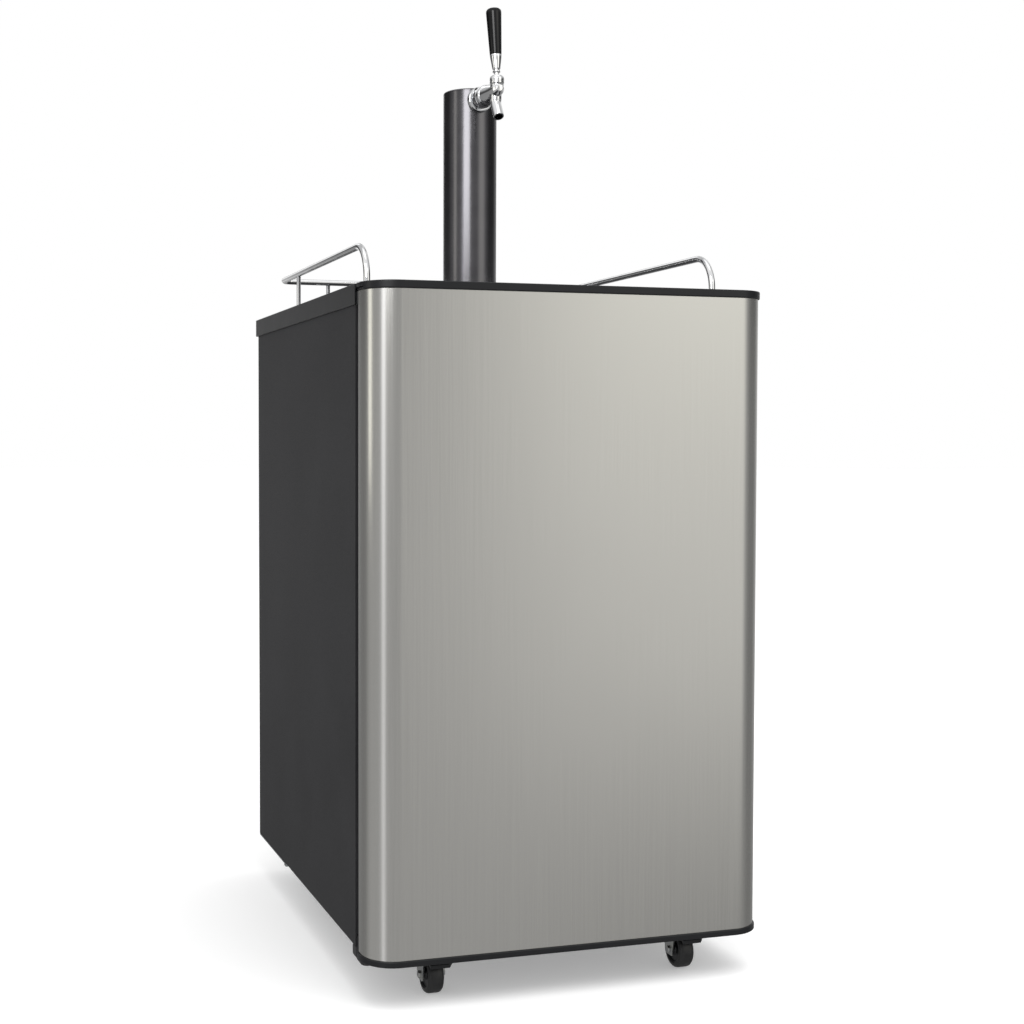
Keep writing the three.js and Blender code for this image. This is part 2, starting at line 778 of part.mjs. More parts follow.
// The bush where the mains lead comes in.
function cordGland() {
  const [x, z] = [220, 82];
  return cut(
    union(along(x, 618, 632, z, 6, 16), along(x, 628, 632, z, 9, 16)),
    along(x, 617, 633, z, 3.6, 12),
  );
}

// ---- Casters -------------------------------------------------------------------------------

function casterMount(x, d, top) {
  return union(
    post(x, d, top - 2.5, top, 17, 24),
    post(x, d, FORK.z1 + GAP, top - 2, 9, 20),
    post(x, d, 46, top - 2, 3.5, 12),
    post(x, d, 45.6, FORK.z0 - GAP, 5.6, 12),
  );
}

const PEDAL = { ahead: 45, z: 46.9, pin: 1.6 };

function casterFork(x, d, braked) {
  const { half, leg, z0, z1 } = FORK;
  const axle = d - TRAIL;
  const outline = [[d - 41, z0 + 1], [d - 4, z0 + 1], [axle + 7, 16.5], [axle - 7, 16.5]];
  const parts = [
    block(x - half, x + half, d - 41, d, z0, z1),
    post(x, d, z0, z1, half, 24),
    sideways(outline, x - half, x - half + leg),
    sideways(outline, x + half - leg, x + half),
    across(x - half - 2, x + half + 2, axle, WHEEL.r, 4, 16),
  ];
  if (braked) {
    const ear = [[d - 49.5, 43], [d - 38, 43], [d - 38, z1], [d - 49.5, z1]];
    parts.push(sideways(ear, x - half, x - half + leg));
    parts.push(sideways(ear, x + half - leg, x + half));
    parts.push(across(x - half + 1, x + half - 1, d - PEDAL.ahead, PEDAL.z, PEDAL.pin, 10));
  }
  return cut(union(...parts), post(x, d, z0 - 1, z1 + 1, 3.8, 12));
}

function casterWheel(x, d) {
  const { r, half, sides, bore } = WHEEL;
  const rim = r / Math.cos(Math.PI / sides);
  const disc = new THREE.CylinderGeometry(rim, rim, 2 * half, sides);
  disc.rotateY(Math.PI / sides);
  disc.rotateZ(Math.PI / 2);
  disc.translate(x, back(d - TRAIL), r);
  return cut(solid(disc), across(x - half - 1, x + half + 1, d - TRAIL, r, bore, 16));
}

function brakePedal(x, d) {
  const axis = d - PEDAL.ahead;
  const inner = FORK.half - FORK.leg - GAP;
  const [front, rear] = [axis - 16, axis - 6];
  const tread = [[rear, 49.6], [front, 44], [front, 39.5], [rear, 45.4]];
  const heel = sideways([[axis - 1, 49.6], [rear, 49.6], [rear, 45.4], [axis - 1, 45.4]], x - inner, x + inner);
  const paddle = sideways(tread, x - inner, x + 21);
  const slant = new THREE.Shape([
    new THREE.Vector2(x + 22, back(rear)),
    new THREE.Vector2(x + 12, back(front) - 1),
    new THREE.Vector2(x + 22, back(front) - 1),
  ]);
  const barrel = across(x - inner, x + inner, axis, PEDAL.z, 3.2, 14);
  const body = union(heel, paddle, barrel);
  return cut(body, slab(slant, 30, 60), across(x - 30, x + 30, axis, PEDAL.z, PEDAL.pin + GAP, 12));
}

// ---- The whole ------------------------------------------------------------------------------

add("cabinet_shell", cabinetShell(), CHARCOAL);
add("back_panel", backPanel(), BLACK_STEEL);
add("bottom_panel", bottomPanel(), CHARCOAL);
add("machine_base", machineBase(), GALVANISED);
add("inner_liner", innerLiner(), WHITE_LINER);
add("insulation", insulation(), FOAM);
add("keg_floor_plate", kegFloorPlate(), GALVANISED);
add("evaporator_plate", evaporatorPlate(), ALUMINIUM);
add("thermostat_housing", thermostatHousing(), WHITE_LINER);
add("thermostat_knob", thermostatKnob(), GREY_RUBBER);

add("worktop", worktop(), BLACK_PLASTIC);
add("guard_rail", guardRail(), CHROME);
add("rail_post_left", railPost(-RAIL.half, RAIL_POST.sideD), CHROME);
add("rail_post_right", railPost(RAIL.half, RAIL_POST.sideD), CHROME);
add("rail_post_rear_left", railPost(-RAIL_POST.rearX, RAIL.rear), CHROME);
add("rail_post_rear_right", railPost(RAIL_POST.rearX, RAIL.rear), CHROME);
add("drip_tray", dripTray(), BLACK_PLASTIC);
add("drip_grille", dripGrille(), BLACK_PLASTIC);

add("tower_flange", towerFlange(), GLOSS_BLACK);
add("tower_column", towerColumn(), GLOSS_BLACK);
add("tower_cap", towerCap(), GLOSS_BLACK);
add("shank", shank(), CHROME);
add("shank_collar", ring(344, 351.6, 17.5, 28), CHROME);
add("shank_nut", ring(358, 366, 14, 6), ZINC);
add("coupling_nut", couplingNut(), CHROME);
add("faucet_body", faucetBody(), CHROME);
add("faucet_bonnet", faucetBonnet(), CHROME);
add("faucet_plunger", faucetPlunger(), ZINC);
add("faucet_lever", faucetLever(), CHROME);
add("handle_ferrule", handleFerrule(), CHROME);
add("tap_handle", tapHandle(), GLOSS_BLACK);

add("door_skin", doorSkin(), STEEL);
add("door_core", doorCore(), FOAM);
add("door_liner", doorLiner(), WHITE_LINER);
add("door_top_cap", doorTopCap(), BLACK_PLASTIC);
add("door_bottom_cap", doorBottomCap(), BLACK_PLASTIC);
add("door_gasket", doorGasket(), GREY_RUBBER);
add("handle_pocket", handlePocket(), BLACK_PLASTIC);
add("top_hinge", topHinge(), BLACK_STEEL);
add("bottom_hinge", bottomHinge(), BLACK_STEEL);

add("compressor", compressor(), BLACK_STEEL);
add("relay_cover", relayCover(), BLACK_PLASTIC);
add("condensate_pan", condensatePan(), BLACK_PLASTIC);
add("filter_drier", filterDrier(), COPPER);
add("condenser_coil", condenserCoil(), BLACK_STEEL);
add("cord_gland", cordGland(), RUBBER);

for (const [end, d] of Object.entries(CASTER_D)) {
  for (const [side, x] of [["left", -CASTER_X], ["right", CASTER_X]]) {
    const name = `${end}_${side}`;
    const braked = end === "front";
    const top = braked ? CABINET.bottom : MACHINE_BASE.bottom - GAP;
    add(`${name}_caster_mount`, casterMount(x, d, top), ZINC);
    add(`${name}_fork`, casterFork(x, d, braked), ZINC);
    add(`${name}_wheel`, casterWheel(x, d), RUBBER);
    if (braked) {
      add(`${name}_brake_pedal`, brakePedal(x, d), BLACK_PLASTIC);
    }
  }
}

export default kegerator;
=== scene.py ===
"""Looks for the single-tap kegerator: materials, rounded and detailed pieces, light and camera.

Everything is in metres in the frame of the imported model: +X to the right, +Y to the back, +Z up.
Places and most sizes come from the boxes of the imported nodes.
"""

import json
import math

import bmesh
import bpy
from mathutils import Matrix, Vector


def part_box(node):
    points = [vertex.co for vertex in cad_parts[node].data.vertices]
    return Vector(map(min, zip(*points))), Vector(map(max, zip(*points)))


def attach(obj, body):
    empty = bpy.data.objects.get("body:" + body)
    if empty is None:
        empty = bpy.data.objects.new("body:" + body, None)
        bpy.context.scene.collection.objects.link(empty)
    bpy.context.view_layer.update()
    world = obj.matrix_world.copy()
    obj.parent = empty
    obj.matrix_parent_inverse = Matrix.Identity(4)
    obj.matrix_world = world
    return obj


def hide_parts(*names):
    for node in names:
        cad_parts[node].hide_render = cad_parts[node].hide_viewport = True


MM = 0.001
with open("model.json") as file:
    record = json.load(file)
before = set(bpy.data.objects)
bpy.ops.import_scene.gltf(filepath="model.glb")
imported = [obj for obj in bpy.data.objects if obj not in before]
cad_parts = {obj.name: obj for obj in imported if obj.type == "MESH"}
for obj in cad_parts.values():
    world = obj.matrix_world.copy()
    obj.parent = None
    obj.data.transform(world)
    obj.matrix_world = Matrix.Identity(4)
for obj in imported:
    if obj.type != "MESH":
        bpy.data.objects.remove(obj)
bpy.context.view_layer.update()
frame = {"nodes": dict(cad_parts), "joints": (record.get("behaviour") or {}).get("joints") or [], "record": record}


class Box:
    """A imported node's box at rest."""

    def __init__(self, node):
        self.low, self.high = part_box(node)
        self.mid = (self.low + self.high) / 2
        self.size = self.high - self.low


# ---- Shader nodes --------------------------------------------------------------------------


def linear(red, green, blue):
    """A colour given in sRGB steps from 0 to 255, as linear values."""
    steps = [step / 255 for step in (red, green, blue)]
    return [s / 12.92 if s < 0.04 else ((s + 0.055) / 1.055) ** 2.4 for s in steps] + [1]


class Finish:
    """A material with one Principled shader, whose patterns are in metres on the object."""

    def __init__(self, name, **uniform):
        self.material = bpy.data.materials.new(name)
        self.material.use_nodes = True
        self.tree = self.material.node_tree
        self.shader = self.tree.nodes["Principled BSDF"]
        self.place = self.tree.nodes.new("ShaderNodeTexCoord").outputs["Object"]
        for socket, value in uniform.items():
            self.shader.inputs[socket.replace("_", " ")].default_value = value

    def node(self, kind, feeds, **settings):
        made = self.tree.nodes.new("ShaderNode" + kind)
        for name, value in settings.items():
            setattr(made, name, value)
        for socket, value in feeds.items():
            if isinstance(value, bpy.types.NodeSocket):
                self.tree.links.new(value, made.inputs[socket])
            else:
                made.inputs[socket].default_value = value
        return made

    def stretched(self, stretch):
        """Coordinates in which a pattern is drawn out along an axis with a small number."""
        return self.node("Mapping", {"Vector": self.place, "Scale": stretch}).outputs["Vector"]

    def noise(self, grain, detail=3.0, stretch=(1, 1, 1)):
        """Cloudy noise from 0 to 1, with blobs about as wide as grain."""
        feeds = {"Vector": self.stretched(stretch), "Scale": 1 / grain, "Detail": detail}
        return self.node("TexNoise", feeds).outputs["Fac"]

    def cells(self, grain):
        return self.node("TexVoronoi", {"Vector": self.place, "Scale": 1 / grain})

    def span(self, value, low, high, at_low=0.3, at_high=0.7):
        feeds = {"Value": value, "From Min": at_low, "From Max": at_high, "To Min": low, "To Max": high}
        return self.node("MapRange", feeds).outputs["Result"]

    def plus(self, first, second, weight):
        feeds = {0: second, 1: weight, 2: first}
        return self.node("Math", feeds, operation="MULTIPLY_ADD").outputs[0]

    def tinted(self, factor, first, second):
        feeds = {0: factor, 6: first, 7: second}
        return self.node("Mix", feeds, data_type="RGBA").outputs[2]

    def colour(self, socket):
        self.tree.links.new(socket, self.shader.inputs["Base Color"])

    def rough(self, socket):
        self.tree.links.new(socket, self.shader.inputs["Roughness"])

    def relief(self, height, depth, strength=1.0):
        """Bumps whose height from 0 to 1 stands for depth metres."""
        feeds = {"Height": height, "Distance": depth, "Strength": strength}
        self.tree.links.new(self.node("Bump", feeds).outputs["Normal"], self.shader.inputs["Normal"])


# ---- Materials -----------------------------------------------------------------------------


def satin_steel():
    """Stainless sheet with a fine upright grain and slow cloudy changes in its gloss."""
    finish = Finish("door_steel", Metallic=1.0)
    grain = finish.noise(0.0007, 2.0, (1, 1, 0.004))
    broad = finish.noise(0.006, 2.0, (1, 1, 0.01))
    cloud = finish.noise(0.25, 2.0)
    finish.colour(finish.tinted(finish.span(grain, 0, 1), linear(196, 195, 191), linear(200, 199, 195)))
    finish.rough(finish.plus(finish.span(grain, 0.2, 0.24), finish.span(cloud, 0.0, 1.0), 0.03))
    finish.relief(finish.plus(grain, broad, 0.6), 0.0005 * MM)
    return finish.material


def powder_coat():
    """Dark grey paint with a fine pebbled surface."""
    finish = Finish("charcoal_paint", Metallic=0.0, Specular_IOR_Level=0.2)
    pebble = finish.noise(0.9 * MM, 2.0)
    cloud = finish.noise(0.12, 3.0)
    finish.colour(finish.tinted(finish.span(cloud, 0, 1), linear(39, 39, 41), linear(45, 45, 47)))
    finish.rough(finish.plus(finish.span(pebble, 0.44, 0.56), cloud, 0.06))
    finish.relief(pebble, 0.05 * MM, 0.7)
    return finish.material


def satin_paint(name, dark, light, roughness, ripple=0.01, gloss=0.5):
    """Smooth paint with a slight ripple and dusty patches."""
    finish = Finish(name, Metallic=0.0, Specular_IOR_Level=gloss)
    cloud = finish.noise(0.05, 4.0)
    finish.colour(finish.tinted(finish.span(cloud, 0, 1), dark, light))
    finish.rough(finish.span(cloud, roughness - 0.05, roughness + 0.06))
    finish.relief(finish.noise(3 * MM, 1.0), ripple * MM, 0.5)
    return finish.material


def moulded(name, dark, light, roughness, grain=0.6, depth=0.02, gloss=0.5):
    """Moulded plastic with a spark-eroded grain."""
    finish = Finish(name, Metallic=0.0, Specular_IOR_Level=gloss)
    fine = finish.noise(grain * MM, 2.0)
    cloud = finish.noise(0.04, 3.0)
    finish.colour(finish.tinted(finish.span(cloud, 0, 1), dark, light))
    finish.rough(finish.plus(finish.span(fine, roughness - 0.04, roughness + 0.04), cloud, 0.06))
    finish.relief(fine, depth * MM, 0.6)
    return finish.material


def lacquer():
    """Black plated steel on the tower, with a satin gloss and faint dust."""
    finish = Finish("gloss_black", Metallic=1.0)
    grain = finish.noise(0.6 * MM, 2.0, (1, 1, 0.02))
    dust = finish.noise(0.03, 5.0)
    finish.colour(finish.tinted(finish.span(dust, 0, 1), linear(100, 99, 102), linear(105, 104, 107)))
    finish.rough(finish.plus(finish.span(dust, 0.19, 0.23), grain, 0.03))
    finish.relief(grain, 0.0004 * MM)
    return finish.material


def chromed():
    finish = Finish("chrome", Metallic=1.0)
    smear = finish.noise(0.02, 4.0)
    scratch = finish.noise(0.5 * MM, 2.0, (1, 1, 0.05))
    finish.colour(finish.tinted(finish.span(smear, 0, 1), linear(228, 229, 231), linear(240, 240, 240)))
    finish.rough(finish.plus(finish.span(smear, 0.04, 0.1), scratch, 0.03))
    finish.relief(smear, 0.01 * MM, 0.3)
    return finish.material


def zinc_plate(name, dark, light, roughness):
    """Plated steel: grey with faint bluish and yellowish clouds."""
    finish = Finish(name, Metallic=1.0)
    cloud = finish.noise(0.008, 4.0)
    fine = finish.noise(0.4 * MM, 2.0)
    finish.colour(finish.tinted(finish.span(cloud, 0, 1), dark, light))
    finish.rough(finish.plus(finish.span(cloud, roughness - 0.06, roughness + 0.06), fine, 0.08))
    finish.relief(fine, 0.01 * MM, 0.5)
    return finish.material


def galvanised_sheet():
    """Zinc coated sheet with its crystals."""
    finish = Finish("galvanised", Metallic=1.0)
    crystal = finish.cells(7 * MM).outputs["Color"]
    shade = finish.node("SeparateColor", {"Color": crystal}).outputs[0]
    finish.colour(finish.tinted(finish.span(shade, 0, 1, 0, 1), linear(150, 155, 158), linear(186, 189, 190)))
    finish.rough(finish.span(shade, 0.3, 0.46, 0, 1))
    finish.relief(finish.noise(1.2 * MM, 3.0), 0.01 * MM, 0.5)
    return finish.material


def rolled_aluminium():
    finish = Finish("aluminium", Metallic=1.0)
    line = finish.noise(0.8 * MM, 2.0, (0.02, 1, 1))
    cloud = finish.noise(0.03, 3.0)
    finish.colour(finish.tinted(finish.span(cloud, 0, 1), linear(196, 199, 201), linear(212, 214, 215)))
    finish.rough(finish.span(line, 0.3, 0.42))
    finish.relief(line, 0.008 * MM, 0.5)
    return finish.material


def bright_copper():
    finish = Finish("copper", Metallic=1.0)
    tarnish = finish.noise(0.012, 4.0)
    finish.colour(finish.tinted(finish.span(tarnish, 0, 1), linear(200, 132, 102), linear(152, 98, 76)))
    finish.rough(finish.span(tarnish, 0.2, 0.42))
    finish.relief(finish.noise(0.8 * MM, 2.0), 0.01 * MM, 0.4)
    return finish.material


def foam_cut():
    """Rigid foam with its small open cells."""
    finish = Finish("foam", Metallic=0.0)
    cell = finish.cells(1.6 * MM).outputs["Distance"]
    cloud = finish.noise(0.05, 3.0)
    finish.colour(finish.tinted(finish.span(cloud, 0, 1), linear(214, 198, 148), linear(228, 215, 170)))
    finish.rough(finish.span(cell, 0.8, 0.95, 0, 1))
    finish.relief(cell, 0.5 * MM, 0.8)
    return finish.material


def rubber(name, dark, light, roughness):
    finish = Finish(name, Metallic=0.0, IOR=1.5)
    scuff = finish.noise(0.006, 5.0)
    fine = finish.noise(0.5 * MM, 3.0)
    finish.colour(finish.tinted(finish.span(scuff, 0, 1), dark, light))
    finish.rough(finish.span(scuff, roughness - 0.08, roughness + 0.1))
    finish.relief(finish.plus(fine, scuff, 0.5), 0.04 * MM, 0.6)
    return finish.material


MATERIALS = {
    "door_steel": satin_steel(),
    "charcoal_paint": powder_coat(),
    "black_steel": satin_paint("black_steel", linear(22, 22, 24), linear(30, 30, 32), 0.38),
    "galvanised": galvanised_sheet(),
    "zinc": zinc_plate("zinc", linear(160, 163, 168), linear(190, 190, 184), 0.32),
    "chrome": chromed(),
    "black_plastic": moulded("black_plastic", linear(14, 15, 18), linear(19, 20, 23), 0.34, 0.6, 0.008, 0.35),
    "gloss_black": lacquer(),
    "handle_black": satin_paint("handle_black", linear(5, 5, 6), linear(7, 7, 8), 0.1, 0.001, 0.3),
    "white_liner": moulded("white_liner", linear(205, 208, 209), linear(209, 211, 211), 0.36, 0.8, 0.004),
    "foam": foam_cut(),
    "tyre_rubber": rubber("tyre_rubber", linear(12, 12, 13), linear(24, 24, 25), 0.45),
    "grey_rubber": rubber("grey_rubber", linear(138, 140, 142), linear(152, 153, 154), 0.55),
    "black_rubber": rubber("black_rubber", linear(24, 24, 25), linear(33, 33, 34), 0.6),
    "knob_grey": moulded("knob_grey", linear(170, 173, 175), linear(178, 180, 182), 0.4),
    "aluminium": rolled_aluminium(),
    "copper": bright_copper(),
}
SLOT_OF = {part["node"]: part["material_slot"] for part in frame["record"]["subparts"]}
BODY_OF = {n: b for b, nodes in frame["record"]["behaviour"]["bodies"].items() for n in nodes}


# ---- Making pieces -------------------------------------------------------------------------


def settle(piece, body, slot, replaces=(), edge=0.0, steps=2, crease=32):
    """Gives a new mesh object its material, smooth shading, rounded edges and body."""
    mesh = piece.data
    mesh.materials.clear()
    mesh.materials.append(MATERIALS[slot])
    mesh.polygons.foreach_set("use_smooth", [True] * len(mesh.polygons))
    mesh.set_sharp_from_angle(angle=math.radians(crease))
    if edge:
        bevel = piece.modifiers.new("rounded_edges", "BEVEL")
        bevel.width = edge
        bevel.segments = steps
        bevel.limit_method = "ANGLE"
        bevel.angle_limit = math.radians(crease)
        bevel.harden_normals = True
        bevel.use_clamp_overlap = False
    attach(piece, body)
    if replaces:
        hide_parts(*replaces)
    return piece


def rounded_copy(node, edge=0.5 * MM, steps=2, crease=32):
    """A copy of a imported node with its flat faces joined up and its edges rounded.

    An edge beside a step too short for the rounding stays as it is.
    """
    mesh = frame["nodes"][node].data.copy()
    form = bmesh.new()
    form.from_mesh(mesh)
    bmesh.ops.remove_doubles(form, verts=form.verts, dist=0.001 * MM)
    flat = math.radians(0.5)
    bmesh.ops.dissolve_limit(form, angle_limit=flat, verts=form.verts, edges=form.edges)
    weight = form.edges.layers.float.new("bevel_weight_edge")
    for line in form.edges:
        near = [other for vert in line.verts for other in vert.link_edges]
        sharp = line.is_manifold and line.calc_face_angle() > math.radians(crease)
        line[weight] = float(sharp and min(other.calc_length() for other in near) > 2.1 * edge)
    form.to_mesh(mesh)
    form.free()
    piece = bpy.data.objects.new(node + "_finished", mesh)
    bpy.context.scene.collection.objects.link(piece)
    settle(piece, BODY_OF[node], SLOT_OF[node], [node], edge, steps, crease)
    if edge:
        piece.modifiers["rounded_edges"].limit_method = "WEIGHT"
    return piece


def joint_place(name):
    for joint in frame["joints"]:
        if joint["name"] == name:
            return Vector(joint["pos_m"])


def rounded_route(stops, radius, steps=8):
    """Points along straight runs between stops, with each inner corner turned into an arc."""
    stops = [Vector(stop) for stop in stops]
    route = [stops[0]]
    for before, corner, after in zip(stops, stops[1:], stops[2:]):
        back, on = (before - corner).normalized(), (after - corner).normalized()
        half = back.angle(on) / 2
        if half > 1.56:
            continue
        centre = corner + (back + on).normalized() * radius / math.sin(half)
        start = corner + back * radius / math.tan(half) - centre
        turn = Matrix.Rotation((math.pi - 2 * half) / steps, 3, on.cross(back).normalized())
        for _ in range(steps + 1):
            route.append(centre + start)
            start = turn @ start
    route.append(stops[-1])
    return route


def circle(radius, sides):
    angles = [2 * math.pi * i / sides for i in range(sides)]
    return [(radius * math.cos(a), radius * math.sin(a)) for a in angles]


class Form:
    """A mesh in the making. Profiles and radii are in millimetres, and places in metres."""

    def __init__(self):
        self.mesh = bmesh.new()

    def skin(self, rings, loop=False, caps=True):
        """Faces between rings of equally many points."""
        made = [[self.mesh.verts.new(point) for point in ring] for ring in rings]
        count = len(made[0])
        pairs = list(zip(made, made[1:])) + ([(made[-1], made[0])] if loop else [])
        for low, high in pairs:
            for i in range(count):
                j = (i + 1) % count
                self.mesh.faces.new((low[i], low[j], high[j], high[i]))
        if caps and not loop:
            self.mesh.faces.new(made[0][::-1])
            self.mesh.faces.new(made[-1])
        return self

    def block(self, low, high):
        (x0, y0, z0), (x1, y1, z1) = low, high
        return self.skin([[(x0, y0, z), (x1, y0, z), (x1, y1, z), (x0, y1, z)] for z in (z0, z1)])

    def lathe(self, profile, place, axis="Z", sides=48, hollow=False):
        """A profile of [radius, height] in millimetres, turned about an axis through place."""
        turn = {"X": Matrix.Rotation(math.pi / 2, 3, "Y"), "Y": Matrix.Rotation(-math.pi / 2, 3, "X")}
        turn = turn.get(axis, Matrix.Identity(3)) if isinstance(axis, str) else axis
        rings = [[Vector(place) + turn @ Vector((x * MM, y * MM, height * MM))
                  for x, y in circle(radius, sides)] for radius, height in profile]
        return self.skin(rings, loop=hollow)

    def tube(self, points, radius, sides=12):
        """A round bar along points; the radius in millimetres may change from point to point."""
        points = [Vector(point) for point in points]
        radii = radius if isinstance(radius, list) else [radius] * len(points)
        ahead = (points[1] - points[0]).normalized()
        side = ahead.orthogonal().normalized()
        rings = []
        for i, point in enumerate(points):
            near = points[min(i + 1, len(points) - 1)] - points[max(i - 1, 0)]
            turn = ahead.rotation_difference(near)
            ahead = near.normalized()
            side = turn @ side
            up = ahead.cross(side)
            rings.append([point + (side * a + up * b) * MM for a, b in circle(radii[i], sides)])
        return self.skin(rings)

    def screw(self, place, axis, radius=3.5):
        """A pan head with a cross recess, which stands on place and faces along axis."""
        turn = Vector((0, 0, 1)).rotation_difference(Vector(axis)).to_matrix()
        dome = [[1, 0], [1, 0.25], [0.85, 0.5], [0.62, 0.6]]
        self.lathe([[radius * r, radius * z] for r, z in dome], place, turn, 20)
        wide, thin, top = 0.55 * radius * MM, 0.14 * radius * MM, 0.61 * radius * MM
        for a, b in ((wide, thin), (thin, wide)):
            corners = [(-a, -b), (a, -b), (a, b), (-a, b)]
            rings = [[Vector(place) + turn @ Vector((x, y, top - 0.02 * MM)) for x, y in corners],
                     [Vector(place) + turn @ Vector((x, y, top + 0.02 * MM)) for x, y in corners]]
            self.skin(rings)
        return self

    def hexagon(self, place, axis, radius, height):
        turn = Vector((0, 0, 1)).rotation_difference(Vector(axis)).to_matrix()
        return self.lathe([[radius * 0.93, 0], [radius, 0.15 * radius], [radius, height - 0.2 * radius],
                           [radius * 0.9, height]], place, turn, 6)

    def turned(self, place, matrix):
        """Turns everything so far about a place."""
        bmesh.ops.rotate(self.mesh, cent=Vector(place), matrix=matrix, verts=self.mesh.verts)
        return self

    def piece(self, name, body, slot, replaces=(), edge=0.0, steps=2, crease=32):
        bmesh.ops.remove_doubles(self.mesh, verts=self.mesh.verts, dist=0.0005 * MM)
        bmesh.ops.recalc_face_normals(self.mesh, faces=self.mesh.faces)
        mesh = bpy.data.meshes.new(name)
        self.mesh.to_mesh(mesh)
        self.mesh.free()
        made = bpy.data.objects.new(name, mesh)
        bpy.context.scene.collection.objects.link(made)
        return settle(made, body, slot, replaces, edge, steps, crease)


def melted(piece, voxel, smooth=6):
    """Joins the solids of a piece into one casting with soft inner corners."""
    remesh = piece.modifiers.new("joined", "REMESH")
    remesh.mode = "VOXEL"
    remesh.voxel_size = voxel
    remesh.use_smooth_shade = True
    soften = piece.modifiers.new("soft_corners", "SMOOTH")
    soften.iterations = smooth
    return piece


# ---- Worktop, guard rail and drip tray -------------------------------------------------------


def top_pieces():
    """The worktop and the tray, the bent rail, its posts and the rings at their feet."""
    rounded_copy("worktop", 0.8 * MM, 3)
    rounded_copy("drip_tray", 0.7 * MM, 3)
    rounded_copy("drip_grille", 0.5 * MM, 3)
    rail = Box("guard_rail")
    thick = 4.2
    inset = Vector((thick, thick, 0)) * MM
    low, high = rail.low + inset, rail.high - inset
    top = rail.high.z - thick * MM
    stops = [(low.x, low.y, rail.low.z), (low.x, low.y, top), (low.x, high.y, top),
             (high.x, high.y, top), (high.x, low.y, top), (high.x, low.y, rail.low.z)]
    first = rounded_route(stops[:3], 43 * MM, 14)
    middle = rounded_route(stops[1:5], 15 * MM, 10)
    last = rounded_route(stops[3:], 43 * MM, 14)
    Form().tube(first[:-1] + middle[1:-1] + last[1:], thick, 20).piece(
        "rail_tube", "cabinet", "chrome", ["guard_rail"])
    surface = Box("tower_flange").low.z
    collar = [[thick + 0.1, 0], [8, 0], [8, 1], [6.4, 2.6], [thick + 0.1, 3]]
    feet = Form()
    for x in (low.x, high.x):
        feet.lathe(collar, (x, low.y, surface), "Z", 32, True)
    for node in ("rail_post_left", "rail_post_right", "rail_post_rear_left", "rail_post_rear_right"):
        box = Box(node)
        r = box.size.x / MM / 2
        tall = box.size.z / MM
        profile = [[0, 0], [r, 0], [r, tall - 1], [r + 0.5, tall], [0, tall]]
        Form().lathe(profile, (box.mid.x, box.mid.y, box.low.z), "Z", 28).piece(
            node + "_rod", "cabinet", "chrome", [node])
        small = [[r + 0.1, 0], [6.2, 0], [6.2, 0.9], [4.9, 2.2], [r + 0.1, 2.5]]
        feet.lathe(small, (box.mid.x, box.mid.y, surface), "Z", 28, True)
    feet.piece("rail_foot_rings", "cabinet", "chrome")


# ---- Tower and faucet ----------------------------------------------------------------------


def tower_pieces():
    """The column, its lid with a soft rim, and the base ring with four screws."""
    column = Box("tower_column")
    cap = Box("tower_cap")
    r = column.size.x / MM / 2
    tall = column.size.z / MM
    foot = (column.mid.x, column.mid.y, column.low.z)
    Form().lathe([[r, 0], [r, tall], [r - 1.5, tall], [r - 1.5, 0]], foot, "Z", 128, True).piece(
        "tower_tube", "cabinet", "gloss_black", ["tower_column"])
    lid = cap.size.z / MM
    rim = [[0, 0], [r, 0], [r, lid - 1.4], [r - 0.4, lid - 0.5], [r - 1.3, lid], [r - 3, lid], [0, lid]]
    Form().lathe(rim, (cap.mid.x, cap.mid.y, cap.low.z), "Z", 128).piece(
        "tower_lid", "cabinet", "gloss_black", ["tower_cap"])
    base = Box("tower_flange")
    high = base.size.z / MM
    outer = base.size.x / MM / 2
    ring = [[r + 0.3, 0], [outer, 0], [outer, 3.6], [outer - 0.5, 4.6], [outer - 1.6, 5], [r + 6, 5.3],
            [r + 4, high - 2.5], [r + 2.4, high - 0.6], [r + 1, high], [r + 0.3, high]]
    Form().lathe(ring, (base.mid.x, base.mid.y, base.low.z), "Z", 96, True).piece(
        "tower_base_ring", "cabinet", "gloss_black", ["tower_flange"])
    screws = Form()
    for i in range(4):
        angle = math.pi / 4 + i * math.pi / 2
        reach = (outer - 6) * MM
        up = 5 * MM - base.size.z / 2
        screws.screw(base.mid + Vector((reach * math.cos(angle), reach * math.sin(angle), up)), (0, 0, 1), 4)
    screws.piece("tower_base_screws", "cabinet", "zinc")


